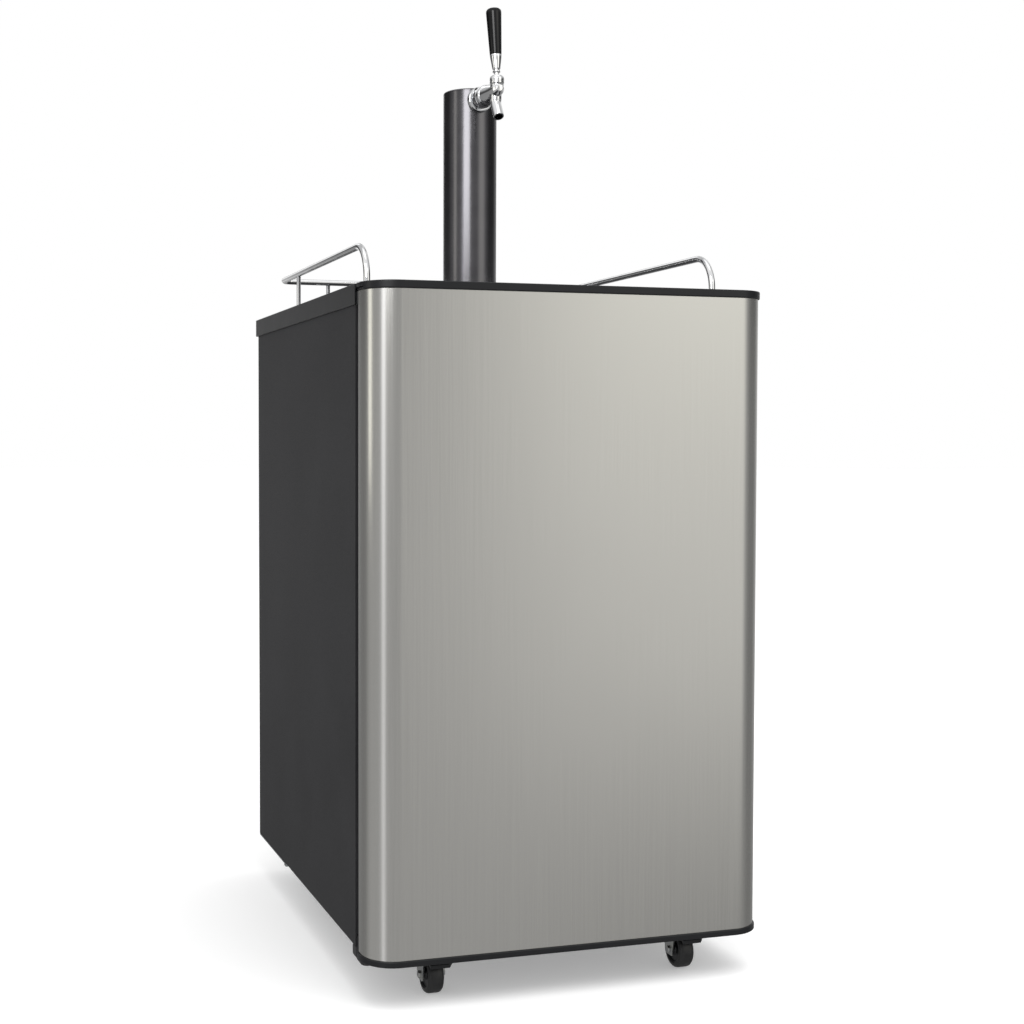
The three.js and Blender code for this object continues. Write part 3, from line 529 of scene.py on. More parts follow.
def faucet_pieces():
    """The threaded shank, its collar and nuts, and the bored casting with its bonnet."""
    shank = Box("shank")
    line = Vector((shank.mid.x, 0, shank.mid.z))

    def on_line(node):
        box = Box(node)
        return Vector((line.x, box.low.y, line.z)), box.size.y / MM, box.size.x / MM / 2

    start, long, r = on_line("shank")
    thread = [[3.5, 0], [r - 0.6, 0], [r - 0.2, 0.8]]
    turns, pitch = 30, 2.4
    for i in range(turns):
        crest = 1.4 + pitch * i
        thread += [[r, crest], [r, crest + 0.4], [r - 0.8, crest + 1.2], [r - 0.8, crest + 1.6]]
    barbed_tail = [[5, 75], [5, 81], [6, 82], [5, 85], [6, 86], [5, long], [3.5, long]]
    Form().lathe(thread + barbed_tail, start, "Y", 40, True).piece(
        "threaded_shank", "cabinet", "chrome", ["shank"])
    start, long, r = on_line("shank_collar")
    flange = [[10.3, 0], [r - 3, 0], [r - 1, 0.8], [r, 2.4], [r, long], [10.3, long]]
    Form().lathe(flange, start, "Y", 64, True).piece("wall_collar", "cabinet", "chrome", ["shank_collar"])
    rounded_copy("shank_nut", 0.4 * MM)
    start, long, r = on_line("coupling_nut")
    ring = [[8.9, 0], [r - 3.4, 0], [r - 1.6, 0.8], [r - 0.6, 2.2], [r, 4.2], [r, 9], [r - 0.7, 9.6],
            [r - 0.7, 11.2], [r, 11.8], [r, long - 1], [r - 0.8, long], [10.4, long], [10.4, 6], [8.9, 6]]
    Form().lathe(ring, start, "Y", 64, True).piece("coupling_ring", "cabinet", "chrome", ["coupling_nut"])
    pits = Form()
    for i in range(6):
        angle = i * math.pi / 3
        out = Vector((math.cos(angle), 0, math.sin(angle)))
        place = start + Vector((0, (long - 4.5) * MM, 0)) + out * (r - 0.2) * MM
        turn = Vector((0, 0, 1)).rotation_difference(out).to_matrix()
        pits.lathe([[0, 0], [1.9, 0], [1.9, 0.35], [1.6, 0.36], [1.5, 0.22], [0, 0.22]], place, turn, 20)
    pits.piece("coupling_spanner_holes", "cabinet", "zinc")

    pivot = joint_place("tap_lever_tilt")
    body = Box("faucet_body")
    end = Vector((0, pivot.y - 7.5 * MM, body.low.z + 3.8 * MM))
    drop = Vector((0, pivot.y + 5 * MM, 0))
    bend = drop + Vector((0, 0, 1134 * MM))
    spout = rounded_route([drop + Vector((0, 0, line.z)), bend, end], 16 * MM, 10)
    rear = (body.high.y - pivot.y) / MM
    barrel = [[0, -11.5], [4.2, -11.3], [5.2, -10.6], [5.6, -9.6], [6.4, -8.4], [8.3, -5.6], [9.4, -2], [9.7, 2],
              [9.9, 9], [10.6, 16], [11.9, 24], [12.9, 31], [13.1, 35.4], [12.6, 36.2], [8.5, 36.3],
              [8.5, rear - 3], [9.9, rear - 2.6], [9.9, rear], [0, rear]]
    cast = Form().lathe(barrel, (0, pivot.y, line.z - 0.5 * MM), "Y", 40)
    cast.tube(spout, [7.3 + max(0, 6 - i) * 0.15 for i in range(len(spout))], 40)
    neck = (pivot.z - line.z) / MM
    cast.lathe([[0, 0], [9.3, 0], [9.2, neck - 4.4], [7.7, neck - 4], [7.7, neck + 3.2], [0, neck + 3.2]],
               (0, pivot.y, line.z), "Z", 40)
    casting = cast.piece("faucet_casting", "cabinet", "chrome", ["faucet_body"])
    bore = Form().tube([spout[-6], spout[-2], end + (end - spout[-2]).normalized() * 3 * MM], 5.3, 32)
    bore.lathe([[0, neck], [5.4, neck], [5.4, neck + 6], [0, neck + 6]], (0, pivot.y, line.z), "Z", 32)
    cutter = bore.piece("faucet_bore", "cabinet", "chrome")
    melted(casting, 0.45 * MM, 8)
    drill = casting.modifiers.new("bored", "BOOLEAN")
    drill.object = cutter
    drill.solver = "EXACT"
    applied(casting)
    bpy.data.objects.remove(cutter)

    bonnet = Box("faucet_bonnet")
    r, tall = bonnet.size.x / MM / 2, bonnet.size.z / MM
    cap = [[8, 0], [r - 0.4, 0], [r, 0.5], [r, 2.6], [r - 0.6, 3], [r - 0.6, 3.8], [r, 4.2], [r, tall - 3.4],
           [r - 0.9, tall - 1], [r - 2.2, tall], [7.4, tall], [5.6, tall - 3.6], [8, tall - 4]]
    Form().lathe(cap, (0, pivot.y, bonnet.low.z), "Z", 64, True).piece(
        "bonnet_cap", "cabinet", "chrome", ["faucet_bonnet"])
    rounded_copy("faucet_plunger", 0.0)
    lever_pieces(pivot)


def applied(piece):
    """Turns a piece's modifiers into mesh."""
    depsgraph = bpy.context.evaluated_depsgraph_get()
    mesh = bpy.data.meshes.new_from_object(piece.evaluated_get(depsgraph))
    piece.modifiers.clear()
    piece.data = mesh
    mesh.polygons.foreach_set("use_smooth", [True] * len(mesh.polygons))
    mesh.set_sharp_from_angle(angle=math.radians(50))


def lever_pieces(pivot):
    """The stem with its ball at the pivot, the ferrule and the grip, all leaning a little."""
    lean = Matrix.Rotation(math.radians(-8), 3, "X")
    ball = [[4.8 * math.sin(a), -4.8 * math.cos(a)] for a in (math.pi * i / 16 for i in range(4, 14))]
    stem = [[0, -11.5], [1.4, -11.5], [2, -10.8], [2, -5]] + ball + [
        [2.8, 5], [2.8, 11.6], [4.4, 12], [5.2, 12.6], [5.2, 13.8], [4.6, 14.5], [3.5, 15.2], [3.5, 30], [0, 30]]
    Form().lathe(stem, pivot, "Z", 40).turned(pivot, lean).piece(
        "lever_stem", "tap_lever", "chrome", ["faucet_lever"])
    ferrule = [[3.8, 17], [5.2, 17], [5.6, 17.5], [5.8, 20], [6.6, 25], [7.6, 32], [8.0, 35.4], [7.8, 36.5],
               [7.4, 36.7], [3.8, 36.7]]
    Form().lathe(ferrule, pivot, "Z", 56, True).turned(pivot, lean).piece(
        "ferrule_sleeve", "tap_lever", "chrome", ["handle_ferrule"])
    grip = [[0, 37], [7.4, 37], [8, 37.5], [8.2, 40], [9.5, 70], [10.5, 94], [10.6, 97.4], [10.2, 99.4],
            [9, 100.8], [7, 101.3], [0, 101.4]]
    Form().lathe(grip, pivot, "Z", 64).turned(pivot, lean).piece(
        "handle_grip", "tap_lever", "handle_black", ["tap_handle"])


# ---- Door ------------------------------------------------------------------------------------


def door_pieces():
    rounded_copy("door_skin", 0.0)
    rounded_copy("door_core", 0.0)
    rounded_copy("door_top_cap", 1.3 * MM, 4)
    rounded_copy("door_bottom_cap", 1.3 * MM, 4)
    rounded_copy("handle_pocket", 0.7 * MM, 3)
    rounded_copy("door_liner", 1.2 * MM, 3)
    gasket()
    for node in ("top_hinge", "bottom_hinge"):
        rounded_copy(node, 0.3 * MM, 2)
    top, low, shell = Box("top_hinge"), Box("bottom_hinge"), Box("cabinet_shell")
    plate_top, cover_low, cover_high = 849.4 * MM, 833 * MM, 850 * MM
    screws = Form()
    for share in (0.45, 0.675):
        screws.screw((top.mid.x, top.low.y + top.size.y * share, plate_top), (0, 0, 1), 3.4)
    screws.piece("top_hinge_screws", "cabinet", "zinc")
    foot = Form().block((shell.low.x + 1 * MM, low.high.y, low.low.z),
                        (low.high.x + 8 * MM, low.high.y + 20 * MM, shell.low.z - 0.2 * MM))
    foot.piece("bottom_hinge_foot", "cabinet", "black_steel", (), 3 * MM, 4)
    cover = Form().block((shell.low.x + 0.3 * MM, shell.low.y - 7 * MM, cover_low),
                         (shell.low.x + 8 * MM, shell.low.y - 0.6 * MM, cover_high))
    cover.piece("top_hinge_cover", "cabinet", "black_plastic", (), 1.6 * MM, 4)


def gasket():
    """A soft bellows with a magnet strip, mitred round the door's opening."""
    box = Box("door_gasket")
    wide = 24 * MM
    deep = box.size.y
    section = [(0, 0), (0, 0.35), (0.1, 0.5), (0, 0.62), (0.06, 0.95), (0.2, 1), (0.62, 1), (0.68, 0.8),
               (0.8, 0.72), (0.9, 0.8), (1, 0.55), (0.96, 0.3), (1, 0)]
    corners = [(-1, -1), (1, -1), (1, 1), (-1, 1)]
    rings = []
    for sx, sz in corners:
        rings.append([(box.mid.x + sx * (box.size.x / 2 - a * wide), box.low.y + b * deep,
                       box.mid.z + sz * (box.size.z / 2 - a * wide)) for a, b in section])
    Form().skin(rings, loop=True).piece("gasket_bellows", "door", "grey_rubber", ["door_gasket"], crease=40)


# ---- Cabinet -----------------------------------------------------------------------------------


def cabinet_pieces():
    rounded_copy("cabinet_shell", 0.8 * MM, 3)
    rounded_copy("back_panel", 0.5 * MM)
    rounded_copy("bottom_panel", 0.5 * MM)
    rounded_copy("machine_base", 0.5 * MM)
    rounded_copy("inner_liner", 1.0 * MM, 3)
    rounded_copy("insulation", 0.0)
    back_screws()
    liner_relief()
    keg_floor()
    evaporator()
    thermostat()


def back_screws():
    panel = Box("back_panel")
    inset, backwards, radius = 9 * MM, (0, 1, 0), 3.6
    screws = Form()
    for side in (-1, 1):
        for height in range(300, 821, 130):
            screws.screw((side * (panel.high.x - inset), panel.high.y, height * MM), backwards, radius)
    for across in (-160, 0, 160):
        screws.screw((across * MM, panel.high.y, panel.high.z - inset), backwards, radius)
    screws.piece("back_panel_screws", "cabinet", "zinc", crease=25)


def liner_relief():
    """Long shallow pads moulded into the liner's side walls, which stiffen them."""
    plate = Box("keg_floor_plate")
    wall, thick, wide, pitch = 215 * MM, 1.6 * MM, 96 * MM, 122 * MM
    pads = Form()
    for side in (-1, 1):
        left, right = sorted((side * wall, side * (wall - thick)))
        for i in range(3):
            front = plate.low.y + 20 * MM + pitch * i
            pads.block((left, front, 0.34), (right, front + wide, 0.7))
    pads.piece("liner_wall_pads", "cabinet", "white_liner", (), 0.7 * MM, 3)


def keg_floor():
    """The plate under the keg, with beads pressed into it and dimpled screws at its corners."""
    rounded_copy("keg_floor_plate", 0.6 * MM)
    plate = Box("keg_floor_plate")
    beads = Form()
    for radius in (70, 118, 166):
        bead = [[radius - 4, 0], [radius - 2.6, 0.9], [radius, 1.3], [radius + 2.6, 0.9], [radius + 4, 0]]
        beads.lathe(bead, (plate.mid.x, plate.mid.y, plate.high.z), "Z", 96, True)
    beads.piece("keg_floor_beads", "cabinet", "galvanised")
    screws = Form()
    for x in (-1, 1):
        for y in (-1, 1):
            corner = Vector((x * (plate.size.x / 2 - 0.014), y * (plate.size.y / 2 - 0.014), plate.size.z / 2))
            screws.screw(plate.mid + corner, (0, 0, 1), 4)
    screws.piece("keg_floor_screws", "cabinet", "zinc", crease=25)


def evaporator():
    """The cold plate, with its channels blown up out of the sheet, and four plastic nuts."""
    rounded_copy("evaporator_plate", 0.4 * MM)
    plate = Box("evaporator_plate")
    runs, margin = 8, 24 * MM
    pitch = (plate.size.z - 2 * margin) / (runs - 1)
    stops = []
    for i in range(runs):
        ends = [plate.low.x + margin, plate.high.x - margin]
        if i % 2:
            ends.reverse()
        stops += [(x, plate.low.y, plate.low.z + margin + i * pitch) for x in ends]
    Form().tube(rounded_route(stops, pitch / 2 - 0.1 * MM, 8), 3.4, 12).piece(
        "evaporator_channels", "cabinet", "aluminium")
    nuts = Form()
    corners = [(x * MM, plate.low.y, z * MM) for x in (-130, 130) for z in (490, 750)]
    for corner in corners:
        nuts.hexagon(corner, (0, -1, 0), radius=6.5, height=4)
    nuts.piece("evaporator_nuts", "cabinet", "white_liner", (), 0.3 * MM)


def thermostat():
    """A housing with vent slots, and a knob with a fluted rim over a dial numbered 1 to 7."""
    rounded_copy("thermostat_housing", 2.0 * MM, 4)
    house, box = Box("thermostat_housing"), Box("thermostat_knob")
    face = house.low.x
    slots = Form()
    for i in range(6):
        y = house.high.y - (12 + 7 * i) * MM
        slots.block((face - 0.4 * MM, y, house.low.z + 16 * MM),
                    (face + 0.2 * MM, y + 3 * MM, house.high.z - 16 * MM))
    slots.piece("thermostat_vents", "cabinet", "black_plastic", (), 0.15 * MM)
    sides, r = 60, box.size.z / MM / 2
    turn = Matrix.Rotation(-math.pi / 2, 3, "Y")
    centre = Vector((face, box.mid.y, box.mid.z))
    rings = []
    for height, reach in ((0.6, 1.0), (3, 1.0), (9, 0.95), (12, 0.9), (13.4, 0.84), (14, 0.76)):
        ring = []
        for i, (x, y) in enumerate(circle(r * reach, sides)):
            flute = 1 - (0.035 if i % 3 == 0 and 3 <= height < 13 else 0)
            ring.append(centre + turn @ Vector((x * flute, y * flute, height)) * MM)
        rings.append(ring)
    knob = Form().skin(rings)
    knob.block((box.low.x, box.mid.y - 15.5 * MM, box.mid.z - 2.4 * MM),
               (face - 12 * MM, box.mid.y + 15.5 * MM, box.mid.z + 2.4 * MM))
    knob.lathe([[0, -11], [3.9, -11], [3.9, 2], [0, 2]], centre, turn, 24)
    knob.piece("thermostat_knob_fluted", "thermostat_dial", "knob_grey", ["thermostat_knob"], 0.25 * MM, 2, 25)
    pointer = Form().block((box.low.x - 0.1 * MM, box.mid.y - 1 * MM, box.mid.z - 0.6 * MM),
                           (box.low.x + 0.3 * MM, box.mid.y + 14.5 * MM, box.mid.z + 0.6 * MM))
    pointer.piece("thermostat_pointer", "thermostat_dial", "black_plastic")
    marks = bmesh.new()
    for i in range(7):
        bearing = math.radians(-135 + 45 * i)
        text = bpy.data.curves.new("numeral", "FONT")
        text.body = str(i + 1)
        text.size = 7 * MM
        text.extrude = 0.1 * MM
        text.align_x = text.align_y = "CENTER"
        holder = bpy.data.objects.new("numeral", text)
        bpy.context.scene.collection.objects.link(holder)
        depsgraph = bpy.context.evaluated_depsgraph_get()
        mesh = bpy.data.meshes.new_from_object(holder.evaluated_get(depsgraph))
        reach = (r + 5) * MM
        spot = Vector((face - 0.12 * MM, box.mid.y - reach * math.sin(bearing),
                       box.mid.z + reach * math.cos(bearing)))
        stand = Matrix(((0, 0, -1), (-1, 0, 0), (0, 1, 0))).to_4x4()
        mesh.transform(Matrix.Translation(spot) @ stand)
        marks.from_mesh(mesh)
        bpy.data.objects.remove(holder)
        bpy.data.curves.remove(text)
        bpy.data.meshes.remove(mesh)
    dial = Form()
    dial.mesh.free()
    dial.mesh = marks
    dial.piece("thermostat_numerals", "cabinet", "black_plastic")


# ---- Cooling machine ---------------------------------------------------------------------------


def machine_pieces():
    rounded_copy("relay_cover", 2.0 * MM, 4)
    rounded_copy("condensate_pan", 0.5 * MM, 3)
    compressor()
    condenser()
    drier = Box("filter_drier")
    r = drier.size.x / MM / 2
    body = [[0, 0], [2.4, 0], [2.6, 8], [3.4, 12], [7, 17], [r - 0.3, 21], [r, 24], [r, 60], [r, 86],
            [r - 0.3, 89], [7, 93], [3.4, 98], [2.6, 102], [2.4, 110], [0, 110]]
    Form().lathe(body, (drier.mid.x, drier.mid.y, drier.low.z), "Z", 40).piece(
        "drier_canister", "cabinet", "copper", ["filter_drier"])
    gland = Box("cord_gland")
    r = gland.size.x / MM / 2
    ribs = [[4.2, 0], [6.6, 0]]
    for i in range(4):
        ribs += [[6.6, 1.2 + 2 * i], [5.4, 1.5 + 2 * i], [5.4, 2.6 + 2 * i], [6.6, 2.9 + 2 * i]]
    ribs += [[r, 10], [r, 12.6], [r - 0.8, gland.size.y / MM], [4.2, gland.size.y / MM]]
    Form().lathe(ribs, (gland.mid.x, gland.low.y, gland.mid.z), "Y", 40, True).piece(
        "cord_gland_ribbed", "cabinet", "black_rubber", ["cord_gland"])


def compressor():
    """A welded can on a pressed plate, on four rubber feet, with its copper pipes."""
    box = Box("compressor")
    middle = Vector((-0.030, box.mid.y, 0))
    can = [[0, 78], [34, 79], [48, 85], [53.5, 94], [54.6, 110], [55, 140], [57, 141], [57.4, 143.5],
           [57.4, 147], [57, 149.5], [55.4, 151], [54.6, 175], [52.6, 195], [48, 210], [38, 221.5],
           [22, 229], [0, 231]]
    shell = Form().lathe(can, (0, 0, 0), "Z", 72)
    bmesh.ops.scale(shell.mesh, vec=(1.45, 1, 1), verts=shell.mesh.verts)
    bmesh.ops.translate(shell.mesh, vec=middle, verts=shell.mesh.verts)
    shell.piece("compressor_can", "cabinet", "black_steel", ["compressor"])
    half_x, half_y = 0.098, 0.054
    plate = Form().block((middle.x - half_x, middle.y - half_y, 0.0745),
                         (middle.x + half_x, middle.y + half_y, 0.077))
    for side in (-1, 1):
        lip, leg = middle.y + side * half_y, middle.x + side * 0.036
        plate.block((middle.x - half_x, lip - 0.0012, 0.069), (middle.x + half_x, lip + 0.0012, 0.0765))
        plate.block((leg - 0.008, middle.y - 0.038, 0.0765), (leg + 0.008, middle.y + 0.038, 0.1))
    plate.piece("compressor_plate", "cabinet", "black_steel", (), 0.5 * MM)
    feet, bolts = Form(), Form()
    for x in (-88, 88):
        for y in (-46, 46):
            foot = Vector((middle.x + x * MM, middle.y + y * MM, box.low.z))
            rubber_foot = [[2.6, 0], [8, 0], [9, 2], [8.6, 5], [6.6, 6.4], [6.6, 8], [8.6, 9.4], [9, 12],
                           [8.4, 13.6], [6, 14], [6, 18], [8.4, 18.2], [8, 20.4], [2.6, 20.4]]
            feet.lathe(rubber_foot, foot, "Z", 32, True)
            bolts.lathe([[0, 0], [2.5, 0], [2.5, 24], [0, 24]], foot, "Z", 20)
            bolts.lathe([[0, 20.4], [6.4, 20.4], [6.4, 21.4], [0, 21.4]], foot, "Z", 32)
            bolts.hexagon(foot + Vector((0, 0, 21.4 * MM)), (0, 0, 1), 4.8, 3.4)
    feet.piece("compressor_feet", "cabinet", "black_rubber")
    bolts.piece("compressor_bolts", "cabinet", "zinc", crease=20)
    pipes(middle)


def pipes(middle):
    """Copper pipes between the compressor, the condenser, the drier and the cold plate."""
    coil, drier, top = Box("condenser_coil"), Box("filter_drier"), 0.268
    back, left = coil.mid.y, coil.low.x + 2 * MM
    low, high = coil.low.z + 8 * MM, coil.high.z - 8 * MM
    run = Form()

    def pipe(stops, bend, radius, sides=12):
        run.tube(rounded_route(stops, bend * MM, 8), radius, sides)

    right, behind, under = middle.x + 0.125, back - 0.006, low - 0.022
    pipe([(middle.x + 0.06, middle.y + 0.02, 0.15), (right, behind, 0.15), (right, behind, under),
          (left + 0.001, back, under), (left + 0.001, back, low + 0.002)], 10, 2.6)
    edge, under = left - 0.015, low - 0.036
    x, y, foot, bend = drier.mid.x, drier.mid.y, drier.low.z, 0.024
    pipe([(left + 0.002, back, high), (edge, back, high), (edge, back, under), (x, back - 0.003, under),
          (x, y, low - 0.07), (x, y, drier.high.z - 0.004)], 9, 2.4)
    suction, stub = middle.x - 0.115, middle.x - 0.105
    pipe([(middle.x - 0.06, middle.y + 0.03, 0.17), (suction, middle.y + 0.034, 0.17),
          (suction, middle.y + 0.034, top)], 12, 3.4, 14)
    pipe([(middle.x - 0.06, middle.y - 0.02, 0.14), (stub, middle.y - 0.022, 0.14),
          (stub, middle.y - 0.022, 0.185)], 9, 2.8)
    capillary = [(x, y, foot + 0.003), (x, y, foot - 0.004)]
    for i in range(73):
        angle = math.radians(15 * i)
        rise = foot - 0.006 + 0.00054 * i
        capillary.append((x + bend - bend * math.cos(angle), y - bend * math.sin(angle), rise))
    capillary += [(x + 0.05, y, foot + 0.06), (x + 0.05, y, top)]
    run.tube(capillary, 1.1, 8)
    run.piece("copper_pipes", "cabinet", "copper")
    drain = [(middle.x, middle.y, top), (middle.x, middle.y, 0.245)]
    Form().tube(drain, 6, 20).piece("drain_tube", "cabinet", "black_rubber")


def condenser():
    """A round serpentine pipe between two rows of welded wires, on four brackets."""
    box = Box("condenser_coil")
    panel = Box("back_panel").high.y
    runs, r = 8, 2.4
    y = box.high.y - r * MM
    low, high = box.low.z + 8 * MM, box.high.z - 8 * MM
    half = box.high.x - 2.1 * MM
    pitch = (high - low) / (runs - 1)
    stops = []
    for i in range(runs):
        ends = [-half, half] if i % 2 == 0 else [half, -half]
        stops += [(x, y, low + i * pitch) for x in ends]
    Form().tube(rounded_route(stops, pitch / 2 - 0.2 * MM, 12), r, 14).piece(
        "condenser_pipe", "cabinet", "black_steel", ["condenser_coil"])
    wires = Form()
    count = 46
    for i in range(count):
        x = -half + 34 * MM + i * (2 * half - 68 * MM) / (count - 1)
        for offset in (-r - 0.5, r + 0.5):
            wires.tube([(x, y + offset * MM, box.low.z), (x, y + offset * MM, box.high.z)], 0.75, 6)
    wires.piece("condenser_wires", "cabinet", "black_steel")
    brackets, screws = Form(), Form()
    for x in (-half + 40 * MM, half - 40 * MM):
        for z in (low + 30 * MM, high - 30 * MM):
            brackets.block((x - 5 * MM, panel, z - 6 * MM), (x + 5 * MM, panel + 1.4 * MM, z + 18 * MM))
            brackets.block((x - 5 * MM, panel, z - 6 * MM), (x + 5 * MM, y - 3 * MM, z - 4.6 * MM))
            brackets.block((x - 5 * MM, y - 4.6 * MM, z - 6 * MM), (x + 5 * MM, y - 3.2 * MM, z + 4 * MM))
            screws.screw((x, panel + 1.4 * MM, z + 11 * MM), (0, 1, 0), 3.4)
    brackets.piece("condenser_brackets", "cabinet", "black_steel", (), 0.15 * MM)
    screws.piece("condenser_screws", "cabinet", "zinc", crease=25)


# ---- Casters -----------------------------------------------------------------------------------


def caster_pieces():
    for end in ("front", "rear"):
        for side in ("left", "right"):
            name = f"{end}_{side}"
            wheel(name)
            rounded_copy(name + "_fork", 0.3 * MM, 2)
            rounded_copy(name + "_caster_mount", 0.4 * MM)
            axle(name)
            if end == "front":
                rounded_copy(name + "_brake_pedal", 0.35 * MM, 2)


def wheel(name):
    """A moulded hub with a rubber tread that has rounded shoulders."""
    box = Box(name + "_wheel")
    r, half = box.size.z / MM / 2, box.size.x / MM / 2

    def mirrored(side):
        """A profile of [radius, depth below the side face], for both sides of the wheel."""
        return [[a, b - half] for a, b in side] + [[a, half - b] for a, b in side[::-1]]

    tread = mirrored([[r - 6.5, 1.2], [r - 6, 0.3], [r - 4, 0], [r - 2.2, 0.5], [r - 0.6, 2.2], [r, 4.5]])
    Form().lathe(tread, box.mid, "X", 72, True).piece(
        name + "_tread", name + "_roller", "tyre_rubber", [name + "_wheel"])
    hub = mirrored([[4.3, 0], [6.6, 0], [7.2, 0.6], [8, 2.2], [r - 8.5, 2.6], [r - 7.5, 1.4], [r - 6.3, 1.2]])
    Form().lathe(hub, box.mid, "X", 56, True).piece(name + "_hub", name + "_roller", "black_plastic")


def axle(name):
    """The axle's bolt head and nut on the outer faces of the fork."""
    fork = Box(name + "_fork")
    middle = Box(name + "_wheel").mid
    bolt = Form()
    bolt.hexagon((fork.low.x + 2 * MM, middle.y, middle.z), (-1, 0, 0), 4.6, 2.6)
    bolt.hexagon((fork.high.x - 2 * MM, middle.y, middle.z), (1, 0, 0), 5.2, 2.4)
    bolt.piece(name + "_axle_bolt", name + "_swivel", "zinc", crease=20)


def build_all():
    cabinet_pieces()
    top_pieces()
    tower_pieces()
    faucet_pieces()
    door_pieces()
    machine_pieces()
    caster_pieces()


# ---- Camera, light and floor ---------------------------------------------------------------


def camera():
    """Low, in front and to the left of the object, and turned a little down."""
    data = bpy.data.cameras.new("camera")
    data.sensor_width = 36
    data.lens = 54.31
    data.shift_x = 0.1278
    data.shift_y = -0.0095
    made = bpy.data.objects.new("camera", data)
    made.location = (-0.7456, -2.0382, 0.6696)
    made.rotation_euler = (math.radians(90 - 2.195), 0, math.radians(-16.217))
    bpy.context.scene.collection.objects.link(made)
    bpy.context.scene.camera = made


def softbox(name, place, target, width, height, power, reflected=False):
    """A soft light that the camera doesn't see: for diffuse light only, or for reflections only."""
    data = bpy.data.lights.new(name, "AREA")
    data.shape = "RECTANGLE"
    data.size = width
    data.size_y = height
    data.energy = power
    made = bpy.data.objects.new(name, data)
    made.location = place
    made.rotation_euler = (Vector(target) - Vector(place)).to_track_quat("-Z", "Y").to_euler()
    made.visible_camera = False
    made.visible_glossy = reflected
    made.visible_diffuse = not reflected
    bpy.context.scene.collection.objects.link(made)
    return made


# Soft panels round the room, seen in reflections: bearings to the right of straight ahead of the
# door and heights above the horizon in degrees, how soft their edges are, brightness and colour.
PANELS = [
    [(-54, -41), (-26, 12), 3, 0.62, (250, 250, 255)],
    [(-54, -41), (1, 10), 6, 1.1, (250, 250, 255)],
    [(18, 50), (-11, 34), 6, 0.45, (255, 253, 246)],
    [(22, 44), (5, 34), 6, 0.55, (255, 253, 240)],
    [(26, 60), (-60, -14), 6, -0.16, (255, 255, 255)],
    [(115, 155), (-10, 50), 15, 0.4, (255, 255, 255)],
    [(172, 190), (-8, 40), 5, 0.9, (255, 255, 255)],
    [(-190, -172), (-8, 40), 5, 0.9, (255, 255, 255)],
    [(-180, 180), (24, 60), 8, 0.5, (255, 255, 255)],
    [(-180, 180), (64, 90), 10, 1.2, (255, 255, 255)],
]


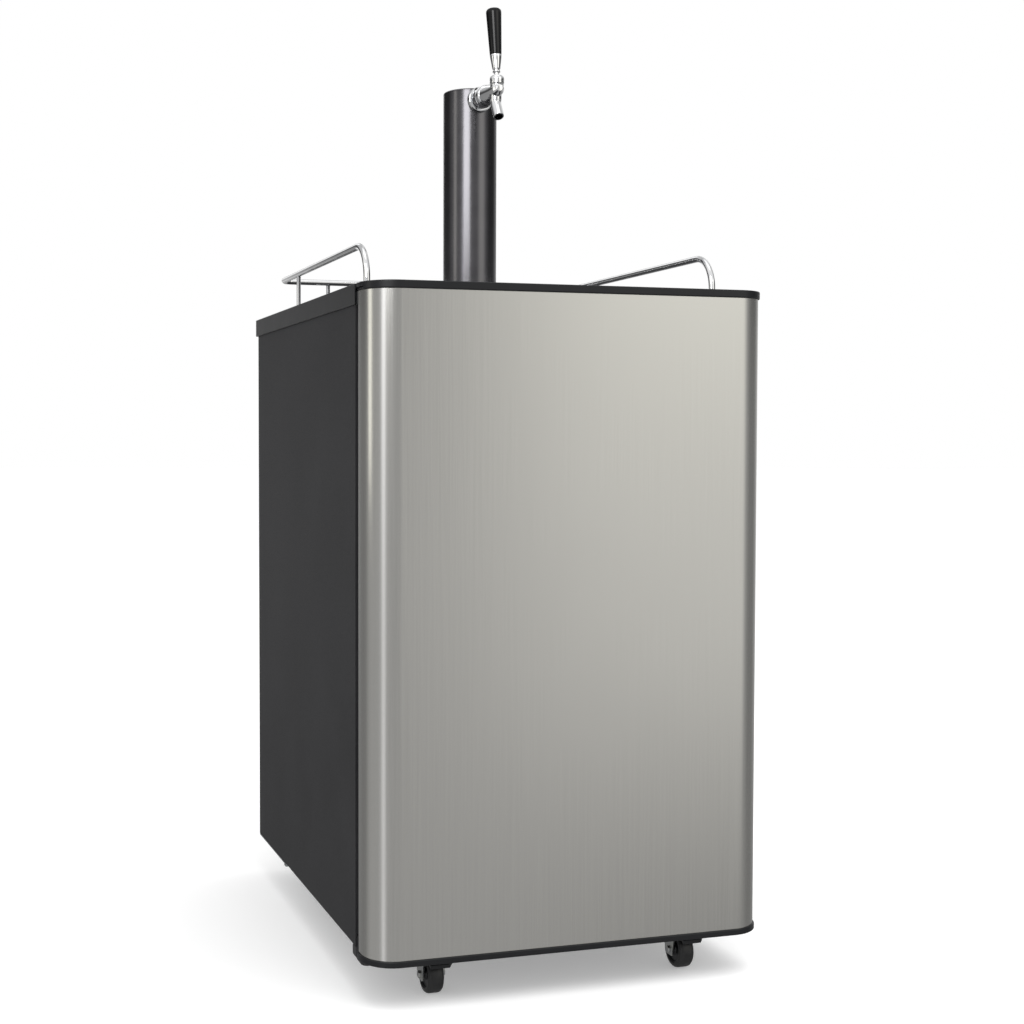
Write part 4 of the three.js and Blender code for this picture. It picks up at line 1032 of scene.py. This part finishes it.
def room():
    """A dome that only reflections see: dim, with soft panels."""
    bpy.ops.mesh.primitive_uv_sphere_add(segments=64, ring_count=32, radius=45)
    dome = bpy.context.object
    dome.name = "room"
    dome.visible_camera = dome.visible_diffuse = dome.visible_shadow = False
    finish = Finish("room_light")
    ahead = finish.node("VectorMath", {0: finish.place}, operation="NORMALIZE").outputs[0]
    x, y, z = finish.node("SeparateXYZ", {"Vector": ahead}).outputs[:3]

    def math_node(operation, first, second=0.0):
        return finish.node("Math", {0: first, 1: second}, operation=operation).outputs[0]

    def grey(value):
        return finish.node("CombineXYZ", {0: value, 1: value, 2: value}).outputs[0]

    def add(first, second):
        return finish.node("VectorMath", {0: first, 1: second}, operation="ADD").outputs[0]

    degrees = 180 / math.pi
    bearing = math_node("MULTIPLY", math_node("ARCTAN2", x, math_node("MULTIPLY", y, -1.0)), degrees)
    height = math_node("MULTIPLY", math_node("ARCSINE", z), degrees)

    def between(value, low, high, soft):
        shares = []
        for limit, start, end in ((low, 0.0, 1.0), (high, 1.0, 0.0)):
            feeds = {"Value": value, "From Min": limit - soft, "From Max": limit + soft,
                     "To Min": start, "To Max": end}
            ramp = finish.node("MapRange", feeds, interpolation_type="SMOOTHSTEP")
            shares.append(ramp.outputs["Result"])
        return math_node("MULTIPLY", *shares)

    # The room is dim above the horizon behind the object, and mid grey in front and below.
    front = between(bearing, -112, 62, 14)
    low = between(height, -90, 7, 3)
    above = math_node("MULTIPLY", finish.span(front, 0.07, 0.42, 0, 1), math_node("SUBTRACT", 1.0, low))
    ground = math_node("MULTIPLY", finish.span(front, 0.26, 0.47, 0, 1), low)
    total = add(grey(above), grey(ground))
    for (left, right), (bottom, top), soft, strength, tone in PANELS:
        share = between(height, bottom, top, soft)
        if right - left < 360:
            share = math_node("MULTIPLY", between(bearing, left, right, soft), share)
        feeds = {0: [step * strength for step in linear(*tone)[:3]], "Scale": share}
        total = add(total, finish.node("VectorMath", feeds, operation="SCALE").outputs[0])
    glow = finish.node("Emission", {"Color": total}).outputs[0]
    out = next(n for n in finish.tree.nodes if n.type == "OUTPUT_MATERIAL")
    finish.tree.links.new(glow, out.inputs["Surface"])
    finish.tree.nodes.remove(finish.shader)
    finish.material.cycles.emission_sampling = "NONE"
    dome.data.materials.append(finish.material)


def studio():
    world = bpy.data.worlds.new("studio")
    world.use_nodes = True
    world.node_tree.nodes["Background"].inputs["Color"].default_value = (1, 1, 1, 1)
    world.node_tree.nodes["Background"].inputs["Strength"].default_value = 1.0
    bpy.context.scene.world = world
    world.cycles_visibility.glossy = False
    bpy.context.scene.view_settings.view_transform = "Standard"
    softbox("overhead", (0.4, -0.9, 3.2), (0, 0, 0.4), width=3.0, height=3.0, power=70)
    softbox("front_panel", (-1.14, -1.7, 1.92), (0, 0.07, 1.92), width=1.0, height=1.46, power=26,
            reflected=True)
    cream = softbox("left_panel", (-1.57, -0.07, 1.15), (0, -0.1, 1.15), width=0.34, height=1.1, power=1.4,
                    reflected=True)
    cream.data.color = (1, 0.98, 0.88)
    bpy.ops.mesh.primitive_circle_add(vertices=96, radius=40, fill_type="NGON")
    floor = bpy.context.object
    floor.name = "floor"
    floor.visible_glossy = False
    pale = Finish("floor_pale", Roughness=0.9, Emission_Color=(1, 1, 1, 1), Emission_Strength=0.3)
    pale.colour(pale.tinted(pale.noise(0.4, 3.0), linear(224, 224, 224), linear(227, 227, 227)))
    floor.data.materials.append(pale.material)
    room()


camera()
studio()
build_all()
